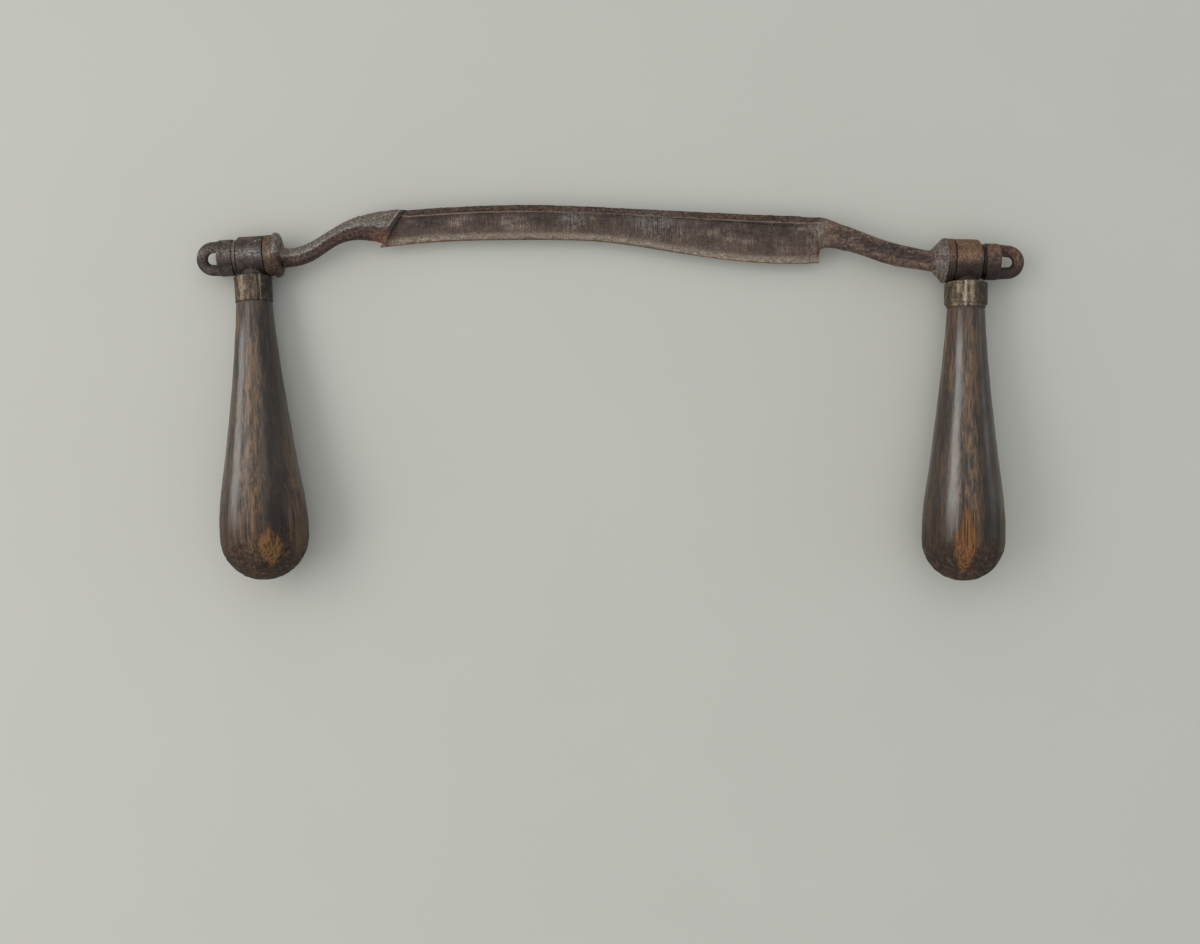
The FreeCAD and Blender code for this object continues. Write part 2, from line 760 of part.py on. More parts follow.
def rest_handle(side, handle):
    """Halve the range of tilts until the handle's lowest point is on the bench."""
    cell = sheet.getCellFromAlias(f"{side}_tilt")
    low, high = 0.0, value("Dims.tilt_limit")
    for _ in range(TILT_STEPS):
        tilt = (low + high) / 2
        sheet.set(cell, repr(tilt))
        doc.recompute([sheet, handle])
        if lowest(handle) < 0:
            low = tilt
        else:
            high = tilt


def centre_on_footprint(bodies):
    box = FreeCAD.BoundBox()
    for body in bodies:
        box.add(body.Shape.optimalBoundingBox(False, False))
    sheet.set(sheet.getCellFromAlias("datum_x"), repr(box.Center.x))
    sheet.set(sheet.getCellFromAlias("datum_y"), repr(box.Center.y))
    doc.recompute()


def check(bodies):
    for item in doc.Objects:
        if "Invalid" in item.State or "Error" in item.State:
            raise RuntimeError(f"{item.Label} failed: {item.State}")
    for body in bodies:
        if body.Shape.isNull() or not body.Shape.isValid() or not body.Shape.Solids:
            raise RuntimeError(f"{body.Label} has no valid solid")


def build():
    fill_sheet()
    bodies = [make_blade()]
    for side in ("left", "right"):
        bodies.append(make_seat_ring(side))
        bodies.append(make_hub(side))
        bodies.append(make_ferrule(side))
        handle = make_handle(side)
        bodies.append(handle)
        bodies.append(make_ferrule_pin(side))
        bodies.append(make_thrust_washer(side))
        bodies.append(make_eye_nut(side))
        doc.recompute()
        rest_handle(side, handle)
    doc.recompute()
    centre_on_footprint(bodies)
    check(bodies)
    os.makedirs("parts", exist_ok=True)
    for body in bodies:
        body.Shape.exportStep(f"parts/{body.Label}.step")
        print(body.Label, len(body.Shape.Solids), round(body.Shape.Volume, 1))
    return bodies


bodies = build()
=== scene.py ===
# %% [markdown]
# # A drawknife with swivelling handles
# The knife is a forged blade with two cranked tangs. Each tang ends in a collar and a spindle, and
# a turned wooden handle swivels on the spindle through an iron hub. A round nut with a hanging eye
# locks it. The frame is loaded first, so that every piece made here goes exactly where the solid
# one is. Sizes are in metres.

# %% Load the frame
import bmesh
import bpy
import json
import math
import numpy as np
from mathutils import Matrix, Vector


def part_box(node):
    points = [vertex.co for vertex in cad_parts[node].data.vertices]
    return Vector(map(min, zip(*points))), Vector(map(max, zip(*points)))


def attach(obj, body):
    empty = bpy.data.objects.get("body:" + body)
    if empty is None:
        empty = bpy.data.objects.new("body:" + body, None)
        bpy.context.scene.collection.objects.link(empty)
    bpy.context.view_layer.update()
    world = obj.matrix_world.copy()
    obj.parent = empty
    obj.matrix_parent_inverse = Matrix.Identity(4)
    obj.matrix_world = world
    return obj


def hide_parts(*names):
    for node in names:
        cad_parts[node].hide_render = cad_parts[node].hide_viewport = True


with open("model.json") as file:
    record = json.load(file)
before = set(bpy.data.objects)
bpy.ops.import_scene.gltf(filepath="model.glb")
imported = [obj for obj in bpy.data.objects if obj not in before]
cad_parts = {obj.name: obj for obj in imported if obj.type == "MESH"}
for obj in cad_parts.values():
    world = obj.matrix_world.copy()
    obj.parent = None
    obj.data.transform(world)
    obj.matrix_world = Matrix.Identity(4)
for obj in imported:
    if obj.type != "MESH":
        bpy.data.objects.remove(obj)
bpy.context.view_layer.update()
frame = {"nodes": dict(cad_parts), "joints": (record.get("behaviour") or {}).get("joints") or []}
MM = 0.001
SIDES = ("left", "right")
print("pieces in the frame:", sorted(frame["nodes"]))

# %% [markdown]
# Each side has two frames of its own. Both start where the handle's axis crosses the spindle's, with
# X out along the spindle. In the spindle's frame Z is up from the bench. In the handle's frame the
# handle runs along -Y. The handle's direction is found from its centre of gravity, which lies on its
# axis because the handle is round.

# %% Frames of the two sides
def corners_of(node):
    """Every corner of a solid's mesh, one row each."""
    return np.array([corner.co for corner in frame["nodes"][node].data.vertices])


def centre_of_gravity(node):
    """Each triangle makes a thin pyramid with the origin, and the pyramids are averaged."""
    mesh = frame["nodes"][node].data
    mesh.calc_loop_triangles()
    triangles = corners_of(node)[np.array([t.vertices[:] for t in mesh.loop_triangles])]
    volumes = np.einsum("ij,ij->i", triangles[:, 0], np.cross(triangles[:, 1], triangles[:, 2]))
    return Vector((triangles.sum(1) / 4 * volumes[:, None]).sum(0) / volumes.sum())


def axes_at(place, x_axis, y_axis):
    turn = Matrix((x_axis, y_axis, x_axis.cross(y_axis))).transposed()
    return Matrix.Translation(place) @ turn.to_4x4()


joints = {joint["name"]: joint for joint in frame["joints"]}
spindle_frame, handle_frame = {}, {}
for side in SIDES:
    swivel = joints[side + "_handle_swivel"]
    pivot, out = Vector(swivel["pos_m"]), Vector(swivel["axis"]).normalized()
    down = centre_of_gravity(side + "_handle") - pivot
    along = -(down - down.dot(out) * out).normalized()
    handle_frame[side] = axes_at(pivot, out, along)
    spindle_frame[side] = axes_at(pivot, out, Vector((0, 0, 1)).cross(out))
    print(side, "pivot", [round(v, 5) for v in pivot], "handle runs along", [round(-v, 4) for v in along])


def seen_from(node, place):
    """A solid's corners as measured in another frame."""
    corners = corners_of(node)
    return np.c_[corners, np.ones(len(corners))] @ np.array(place.inverted()).T[:, :3]


# %% [markdown]
# A camera hangs straight over the knife, and a pale floor lies just under it. The light is a soft
# studio light: a long softbox to the left, which draws one long streak down each handle, a dimmer one
# overhead, and a bright room all round.

# %% Camera, floor and lights
def deselect():
    if bpy.context.object and bpy.context.object.mode != "OBJECT":
        bpy.ops.object.mode_set(mode="OBJECT")
    bpy.ops.object.select_all(action="DESELECT")


def choose(*pieces):
    """Selects these pieces alone, and makes the last one active."""
    deselect()
    for piece in pieces:
        piece.select_set(True)
    bpy.context.view_layer.objects.active = pieces[-1]


CAMERA_ASIDE, CAMERA_FORWARD, CAMERA_HEIGHT = -4.3 * MM, -36.8 * MM, 710.1 * MM
LENS = 45.16  # millimetres, for a sensor 36 mm wide
FLOOR_WIDTH, FLOOR_GAP = 6.0, 0.05 * MM
WINDOW_POWER, WINDOW_SPREAD = 0.95, math.radians(120)
ROOM_TINT, ROOM_STRENGTH = (0.97, 0.98, 1.0, 1.0), 0.56

deselect()
between = (handle_frame["left"].translation.x + handle_frame["right"].translation.x) / 2
camera_place = (between + CAMERA_ASIDE, CAMERA_FORWARD, CAMERA_HEIGHT)
bpy.ops.object.camera_add(location=camera_place, rotation=(0, 0, 0))
camera = bpy.context.object
camera.data.sensor_width = 36.0
camera.data.lens = LENS
bpy.context.scene.camera = camera

bpy.ops.mesh.primitive_plane_add(size=FLOOR_WIDTH, location=(0, 0, -FLOOR_GAP))
floor = bpy.context.object
floor.name = "floor"

LIGHTS = (
    # name, place, point it faces, width, length (level), power, colour
    ("key_softbox", (-0.78, -0.02, 0.80), (0.0, -0.05, 0.0), 0.46, 1.1, 3.8, (1.0, 0.99, 0.97)),
    ("top_softbox", (0.0, 0.62, 1.20), (0.0, 0.05, 0.0), 0.40, 0.80, 0.4, (0.93, 0.97, 1.0)),
    ("right_softbox", (1.25, -0.10, 0.30), (0.0, 0.0, 0.0), 0.40, 0.9, 1.4, (0.82, 0.91, 1.0)),
)
for name, place, target, width, length, power, tint in LIGHTS:
    bpy.ops.object.light_add(type="AREA", location=place)
    lamp = bpy.context.object
    lamp.name = name
    lamp.rotation_euler = (Vector(target) - Vector(place)).to_track_quat("-Z", "Y").to_euler()
    lamp.data.shape = "RECTANGLE"
    lamp.data.size, lamp.data.size_y = length, width
    lamp.data.energy = power
    lamp.data.color = tint

bpy.ops.object.light_add(type="SUN", location=(-0.6, 0.5, 1.0))
window = bpy.context.object
window.name = "window_light"
window.rotation_euler = Vector((0.62, -0.42, -1.0)).to_track_quat("-Z", "Y").to_euler()
window.data.energy = WINDOW_POWER
window.data.angle = WINDOW_SPREAD

room = bpy.data.worlds.new("soft_room")
room.use_nodes = True
background = room.node_tree.nodes["Background"]
background.inputs["Color"].default_value = ROOM_TINT
background.inputs["Strength"].default_value = ROOM_STRENGTH
bpy.context.scene.world = room
bpy.context.scene.view_settings.view_transform = "Standard"
print("camera lens", camera.data.lens, "mm, lights", [row[0] for row in LIGHTS])

# %% [markdown]
# ## Finishes
# Every finish is worked out from the place on the piece, so the pattern stays on the piece when it
# turns. A small class wraps a socket, so that shader sums can be written as ordinary sums, and a
# second one holds a material and adds its nodes.

# %% Helpers for finishes
class Wire:
    """The output of a node, which can be used in sums."""

    def __init__(self, finish, socket):
        self.finish = finish
        self.socket = socket

    def sum(self, operation, first, second):
        return self.finish.node("ShaderNodeMath", {"operation": operation}, {0: first, 1: second})

    def __add__(self, other):
        return self.sum("ADD", self, other)

    __radd__ = __add__

    def __sub__(self, other):
        return self.sum("SUBTRACT", self, other)

    def __rsub__(self, other):
        return self.sum("SUBTRACT", other, self)

    def __mul__(self, other):
        return self.sum("MULTIPLY", self, other)

    __rmul__ = __mul__

    def __truediv__(self, other):
        return self.sum("DIVIDE", self, other)

    def __pow__(self, other):
        return self.sum("POWER", self, other)

    def __abs__(self):
        return self.finish.node("ShaderNodeMath", {"operation": "ABSOLUTE"}, {0: self})


class Finish:
    """One material, built up node by node."""

    def __init__(self, name):
        self.material = bpy.data.materials.new(name)
        self.material.use_nodes = True
        self.tree = self.material.node_tree
        self.shader = self.tree.nodes["Principled BSDF"]
        self.place = self.node("ShaderNodeTexCoord", {}, {}, "Object")

    def node(self, kind, settings, links, output=0):
        new = self.tree.nodes.new(kind)
        for key, setting in settings.items():
            if key == "stops":
                ramp = new.color_ramp
                while len(ramp.elements) < len(setting):
                    ramp.elements.new(0.5)
                for element, (position, colour) in zip(ramp.elements, setting):
                    element.position = position
                    element.color = (*colour, 1.0)
            else:
                setattr(new, key, setting)
        for key, link in links.items():
            if isinstance(link, Wire):
                self.tree.links.new(link.socket, new.inputs[key])
            else:
                new.inputs[key].default_value = link
        return Wire(self, new.outputs[output])

    def at(self, centre=(0, 0, 0), turn=(0, 0, 0), size=(1, 1, 1), where=None):
        """The place measured from centre, along turned axes, in units of size."""
        links = {"Vector": where or self.place, "Location": centre, "Rotation": turn, "Scale": size}
        return self.node("ShaderNodeMapping", {"vector_type": "TEXTURE"}, links)

    def noise(self, size, where=None, detail=4.0, roughness=0.55, distortion=0.0):
        """Cloudy pattern whose blotches are about that size."""
        links = {"Vector": where or self.place, "Scale": 1.0 / size, "Detail": detail}
        links.update({"Roughness": roughness, "Distortion": distortion})
        return self.node("ShaderNodeTexNoise", {}, links, "Fac")

    def step(self, value, low, high):
        """Rises smoothly from 0 at low to 1 at high."""
        settings = {"interpolation_type": "SMOOTHSTEP"}
        links = {"Value": value, "From Min": low, "From Max": high}
        return self.node("ShaderNodeMapRange", settings, links)

    def fall(self, value, low, high):
        """Falls smoothly from 1 at low to 0 at high."""
        return 1.0 - self.step(value, low, high)

    def limit(self, value):
        return self.node("ShaderNodeClamp", {}, {"Value": value})

    def ramp(self, value, stops):
        return self.node("ShaderNodeValToRGB", {"stops": stops}, {0: value})

    def mix(self, share, first, second, blend="MIX"):
        first = first if isinstance(first, Wire) else (*first, 1.0)
        second = second if isinstance(second, Wire) else (*second, 1.0)
        settings = {"data_type": "RGBA", "blend_type": blend}
        return self.node("ShaderNodeMix", settings, {0: share, 6: first, 7: second}, 2)

    def split(self, where):
        """The three coordinates of a place, each as a wire."""
        first = self.node("ShaderNodeSeparateXYZ", {}, {0: where})
        return [Wire(self, first.socket.node.outputs[index]) for index in range(3)]

    def painted(self, name):
        """A number stored at each corner of the piece."""
        return self.node("ShaderNodeAttribute", {"attribute_name": name}, {}, "Fac")

    def worn_edges(self, low=0.52, high=0.60):
        """High where the surface is sharply rounded outwards."""
        bend = self.node("ShaderNodeNewGeometry", {}, {}, "Pointiness")
        return self.step(bend, low, high)

    def raise_by(self, height, depth, strength=1.0):
        links = {"Height": height, "Distance": depth, "Strength": strength}
        return self.node("ShaderNodeBump", {}, links, "Normal")

    def finish(self, colour, roughness, metallic=0.0, normal=None):
        for name, link in (("Base Color", colour), ("Roughness", roughness), ("Metallic", metallic)):
            if isinstance(link, Wire):
                self.tree.links.new(link.socket, self.shader.inputs[name])
            else:
                self.shader.inputs[name].default_value = link
        if normal:
            self.tree.links.new(normal.socket, self.shader.inputs["Normal"])
        return self.material


def shade(red, green, blue):
    """A colour as it looks on a screen, from 0 to 255, made into the light it stands for."""
    return tuple(((v / 255 + 0.055) / 1.055) ** 2.4 for v in (red, green, blue))


# %% [markdown]
# The floor is plain: a pale warm grey, with only the faintest unevenness, like drawing paper.

# %% Floor finish
def pale_floor():
    finish = Finish("pale_floor")
    patches = finish.noise(90 * MM, detail=3.0)
    colour = finish.mix(patches, shade(184, 184, 176), shade(188, 188, 180))
    return finish.finish(colour, 0.95)


floor.data.materials.append(pale_floor())
print("floor finish", floor.data.materials[0].name)


# %% [markdown]
# Old forged iron is never one colour. There are dark scale, brown rust in patches, orange specks, and
# grey metal on edges that hands have rubbed. A grey band along each crown is a painted highlight,
# partly rubbed metal, and the side towards the handle is darkened with painted shade. One recipe
# makes them all, and each piece gives its own colours and amounts. The metal is left mostly dull,
# because rust scatters light.

# %% Worn iron
PITTING = [(0.40, (0.36, 0.35, 0.36)), (0.50, (0.90, 0.90, 0.90)), (0.62, (1.35, 1.35, 1.35))]


def worn_iron(name, scale, rust, specks, bare, pivot, patch=3.0, rusty=0.5, sheen_and_rub=0.5, lower_shade_share=0.5):
    """scale, rust, specks and bare are colours. patch is in millimetres; the others are shares."""
    finish = Finish(name)
    y = finish.split(finish.at(tuple(pivot)))[1]
    patches = finish.noise(patch * MM, detail=8.0, roughness=0.65, distortion=0.4)
    grain = finish.noise(0.8 * MM, detail=6.0, roughness=0.75)
    wide = finish.noise(3 * patch * MM, detail=3.0)
    onset = 0.62 - 0.25 * rusty
    rust_share = finish.step(patches * 0.7 + wide * 0.3 + grain * 0.12, onset, onset + 0.16)
    colour = finish.mix(rust_share, scale, rust)
    speck_share = finish.step(finish.noise(1.1 * MM, detail=6.0, roughness=0.75), 0.58, 0.68)
    colour = finish.mix(speck_share * rust_share * 0.8, colour, specks)
    rub_share = finish.limit(finish.worn_edges() + finish.step(grain * 0.5 + wide * 0.5, 0.50, 0.66) * 0.35)
    colour = finish.mix(rub_share * sheen_and_rub, colour, bare)
    # A grey band along the crown is a painted highlight, partly rubbed bare metal.
    flank = abs(y / MM - 0.6)
    crown_sheen_and_rub = finish.fall(flank + patches * 5.0, 2.6, 6.2) * finish.step(grain + wide * 0.4, 0.55, 0.85)
    colour = finish.mix(crown_sheen_and_rub * sheen_and_rub * 0.75, colour, bare)
    # The side towards the handle is darkened with painted shade.
    painted_lower_shade = finish.fall(y / MM + (patches - 0.5) * 8.0, -4.5, 2.2)
    colour = finish.mix(painted_lower_shade * lower_shade_share, colour, shade(30, 26, 28))
    colour = finish.mix(0.85, colour, finish.ramp(grain, PITTING), "MULTIPLY")
    roughness = 0.42 + 0.25 * rust_share - 0.10 * rub_share + 0.12 * grain
    pits = patches * 0.6 + grain * 0.4 - speck_share * 0.15
    return finish.finish(colour, roughness, 0.35 + 0.4 * rub_share, finish.raise_by(pits, 0.16 * MM, 0.9))


# %% [markdown]
# The blade's finish follows its shape. Along the cutting edge runs a strip that the stone has kept
# bright. The hollow face shows strokes straight across from grinding, with two grey places that are
# painted highlights. Rust has started at the heel and in the corner by the toe, and it colours the
# lower facet of the tangs. The left tang's upper facet is painted lighter, with a painted highlight
# on its ridge, and the back strip and the heel's shoulder carry painted highlights and painted
# shadows. Three numbers are stored on the mesh: the share of the way across, and the distances in
# millimetres from the lower and the upper outline.

# %% Blade steel
HEEL_SLANT = math.tan(math.radians(33))
COLLAR_BACK = handle_frame["right"].translation.x - 16.6 * MM
PAINTED_HIGHLIGHT_PLACES = ((-17 * MM, 9 * MM), (20 * MM, 16 * MM))  # middle, and half length
RUST_SPOT_HEIGHT = 10.5 * MM


def ground_steel(finish, strokes, patches, small, share):
    """The hollow face between the back and the edge."""
    tones = [shade(34, 27, 25), shade(66, 52, 46), shade(86, 72, 62), shade(134, 120, 106)]
    colour = finish.ramp(patches * 0.55 + strokes * 0.45, list(zip((0.40, 0.47, 0.54, 0.62), tones)))
    low_part = finish.fall(share + patches * 0.3, 0.25, 0.75)
    colour = finish.mix(low_part * 0.38, colour, shade(118, 100, 84))
    x = finish.split(finish.place)[0]
    streaky = finish.step(strokes * 0.7 + small * 0.6 + share * 0.25, 0.72, 0.92)
    # The two grey places on the face are painted highlights.
    for middle, half in PAINTED_HIGHLIGHT_PLACES:
        sheen_and_rub = finish.fall(abs(x - middle), 0.2 * half, half) * streaky
        colour = finish.mix(sheen_and_rub * 0.55, colour, shade(148, 146, 142))
    return colour


def back_strip(finish, colour, on_blade, spine, small):
    """The rough strip along the back, with a painted highlight line and a painted shadow under it."""
    strip = on_blade * finish.fall(spine + small * 1.2, 3.2, 4.2)
    rough = finish.mix(finish.step(small, 0.38, 0.66), shade(38, 29, 26), shade(104, 78, 58))
    colour = finish.mix(strip * 0.85, colour, rough)
    down = spine + small * 0.8
    # A painted highlight along the back.
    painted_back_highlight = on_blade * finish.step(down, 3.5, 3.9) * finish.fall(down, 3.9, 4.4)
    colour = finish.mix(painted_back_highlight * 0.75, colour, shade(150, 124, 102))
    # A painted shadow under it.
    painted_back_shadow = on_blade * finish.step(down, 4.0, 4.6) * finish.fall(spine + small * 2.0, 4.8, 7.0)
    return finish.mix(painted_back_shadow * 0.45, colour, shade(36, 28, 28))


def left_tang_iron(finish, drawn, small, fine, share):
    """Rust-brown lower facet, grey upper one painted lighter, painted shade below, painted ridge highlight."""
    low_facet = finish.step(small * 0.5 + drawn * 0.5, 0.40, 0.62)
    low_facet = finish.mix(low_facet, shade(50, 38, 33), shade(92, 66, 52))
    # The grey upper facet is painted lighter than the rusty lower one.
    high_facet = finish.mix(finish.step(fine, 0.36, 0.64), shade(70, 61, 54), shade(124, 112, 99))
    colour = finish.mix(finish.step(share + small * 0.12 - 0.06, 0.42, 0.54), low_facet, high_facet)
    # Painted shade along the lower edge.
    painted_belly_shade = finish.fall(share + small * 0.3, 0.16, 0.34)
    colour = finish.mix(painted_belly_shade * 0.6, colour, shade(34, 26, 25))
    # A painted highlight along the ridge.
    across = share + small * 0.08
    painted_ridge_highlight = finish.step(across, 0.50, 0.57) * finish.fall(across, 0.58, 0.72) * finish.step(drawn, 0.40, 0.58)
    return finish.mix(painted_ridge_highlight * 0.65, colour, shade(150, 151, 152))


def right_tang_iron(finish, drawn, small, patches, share, toe):
    """Scorched brown, with a dark band along it and paler iron on the cone of the collar."""
    x = finish.split(finish.place)[0]
    scorched = finish.step(patches + small * 0.7, 0.62, 1.02)
    scorched = finish.mix(scorched, shade(54, 43, 39), shade(106, 82, 66))
    flecks = finish.step(drawn * 0.6 + small * 0.4, 0.49, 0.62)
    colour = finish.mix(flecks * 0.7, scorched, shade(142, 122, 106))
    across = share + small * 0.3
    band = finish.step(across, 0.40, 0.55) * finish.fall(across, 0.75, 0.95)
    band = band * finish.step(x, toe.x + 12 * MM, toe.x + 22 * MM)
    colour = finish.mix(band * 0.55, colour, shade(30, 24, 24))
    pale = finish.mix(finish.step(small, 0.38, 0.60), shade(58, 48, 45), shade(132, 120, 112))
    return finish.mix(finish.step(x, COLLAR_BACK, COLLAR_BACK + 1.0 * MM) * 0.7, colour, pale)


def blade_steel(heel, toe):
    """heel and toe are the lowest corners of the blade's two ends."""
    finish = Finish("blade_steel")
    share, edge, spine = (finish.painted(name) for name in ("across", "from_edge", "from_spine"))
    x, y = finish.split(finish.place)[:2]
    from_heel = (x - y * HEEL_SLANT - (heel.x - heel.y * HEEL_SLANT)) / MM
    on_blade = finish.step(from_heel, -0.4, 0.4) * finish.fall(x, toe.x - 0.5 * MM, toe.x + 2.5 * MM)
    strokes = finish.noise(0.42 * MM, finish.at(size=(1, 15, 15)), detail=5.0, roughness=0.8)
    fine = finish.noise(0.7 * MM, detail=6.0, roughness=0.75)
    patches = finish.noise(8 * MM, finish.at(size=(1.5, 1, 1)), detail=7.0, roughness=0.62)
    small = finish.noise(1.5 * MM, detail=6.0, roughness=0.7)
    drawn = finish.noise(1.2 * MM, finish.at(size=(5, 1, 1)), detail=6.0, roughness=0.7)

    colour = ground_steel(finish, strokes, patches, small, share)
    colour = back_strip(finish, colour, on_blade, spine, small)
    honed = on_blade * finish.fall(edge + strokes * 2.4, 3.0, 5.0)
    bright = finish.mix(strokes, shade(112, 98, 84), shade(178, 166, 148))
    colour = finish.mix(honed * 0.85, colour, bright)
    lip = on_blade * finish.fall(edge + small * 0.6, 0.45, 1.0)
    colour = finish.mix(lip * 0.8, colour, shade(112, 70, 46))

    left_tang = left_tang_iron(finish, drawn, small, fine, share)
    right_tang = right_tang_iron(finish, drawn, small, patches, share, toe)
    forged = finish.mix(finish.step(x, 0.0, 1.0 * MM), left_tang, right_tang)
    near_heel = finish.step(from_heel, -5.0, -0.5) * finish.fall(x, 0.0, 1.0 * MM)
    forged = finish.mix(near_heel * 0.6, forged, shade(64, 48, 42))
    colour = finish.mix(1.0 - on_blade, colour, forged)

    # At the heel's shoulder a shallow dent is darkened with painted shadow.
    shoulder_dent_and_shadow = finish.step(from_heel + small * 0.8, -0.2, 0.5) * finish.fall(from_heel + small * 1.2, 2.2, 3.6)
    colour = finish.mix(shoulder_dent_and_shadow * finish.step(share, 0.10, 0.35) * 0.85, colour, shade(30, 23, 22))
    # A painted highlight on the tang's side of the shoulder.
    painted_shoulder_highlight = finish.step(from_heel, -1.6, -0.6) * finish.fall(from_heel, -0.4, 0.2)
    colour = finish.mix(painted_shoulder_highlight * finish.step(share, 0.3, 0.7) * 0.6, colour, shade(160, 148, 138))

    spots = []
    for corner, aside, lift, reach in ((heel, 1.5, 3.0, 10.0), (toe, -0.5, 5.5, 6.5)):
        centre = (corner.x + aside * MM, corner.y + lift * MM, RUST_SPOT_HEIGHT)
        operation = {"operation": "DISTANCE"}
        far = finish.node("ShaderNodeVectorMath", operation, {0: finish.place, 1: centre}, "Value")
        spots.append(finish.fall(far / MM + small * 9.0, 0.5 * reach, 1.35 * reach))
    rust_share = finish.limit(spots[0] + spots[1])
    rust = finish.mix(finish.step(small, 0.38, 0.62), shade(70, 42, 32), shade(148, 88, 56))
    colour = finish.mix(rust_share * 0.75, colour, rust)
    rub = finish.worn_edges(0.53, 0.62)
    colour = finish.mix(rub * 0.22, colour, shade(150, 146, 142))
    colour = finish.mix(0.75, colour, finish.ramp(fine, PITTING), "MULTIPLY")
    roughness = 0.46 + 0.15 * small - 0.10 * rub + 0.2 * rust_share - 0.06 * honed
    height = strokes * 0.5 * on_blade + small * 0.5 + fine * 0.25 - shoulder_dent_and_shadow * 1.2
    metallic = finish.limit(0.35 - 0.3 * rust_share + 0.25 * honed)
    return finish.finish(colour, roughness, metallic, finish.raise_by(height, 0.12 * MM, 0.8))


# %% [markdown]
# The handles are dark stained hardwood. The grain runs their length as fine orange-brown lines, the
# old varnish is glossy on the swell, and the butts are chewed and dull. On each butt a patch has
# split away and shows bare orange wood. A pale streak down the left of each handle is a painted
# highlight, and the right side and the far left edge are darkened with painted shade. The pattern is
# worked out in the handle's own frame, with its fibres drawn out along the handle.

# %% Handle wood
def in_handle_frame(finish, side):
    """The place in the handle's frame: the socket, millimetres to the right and down, and height."""
    own = handle_frame[side]
    local = finish.at(tuple(own.translation), tuple(own.to_euler()))
    x, y, z = finish.split(local)
    if side == "right":
        return local, x / MM, -1.0 * y / MM, z
    return local, -1.0 * x / MM, -1.0 * y / MM, -1.0 * z


def split_patch(finish, side, local, place, size):
    """1 inside a ragged patch that is pointed at both ends."""
    centre = (place[0] * MM * (1 if side == "right" else -1), -place[1] * MM, 0)
    x, y = finish.split(finish.at(centre, size=(size[0] * MM, size[1] * MM, 1), where=local))[:2]
    above = finish.node("ShaderNodeMath", {"operation": "MAXIMUM"}, {0: y, 1: 0.0})
    below = finish.node("ShaderNodeMath", {"operation": "MAXIMUM"}, {0: -1.0 * y, 1: 0.0})
    ragged = finish.noise(0.9 * MM, finish.at(size=(1, 5, 1), where=local), detail=5.0, roughness=0.7) - 0.5
    return finish.fall(abs(x) + above + below ** 2.0 * 0.8 + ragged * 1.3, 0.70, 1.02)


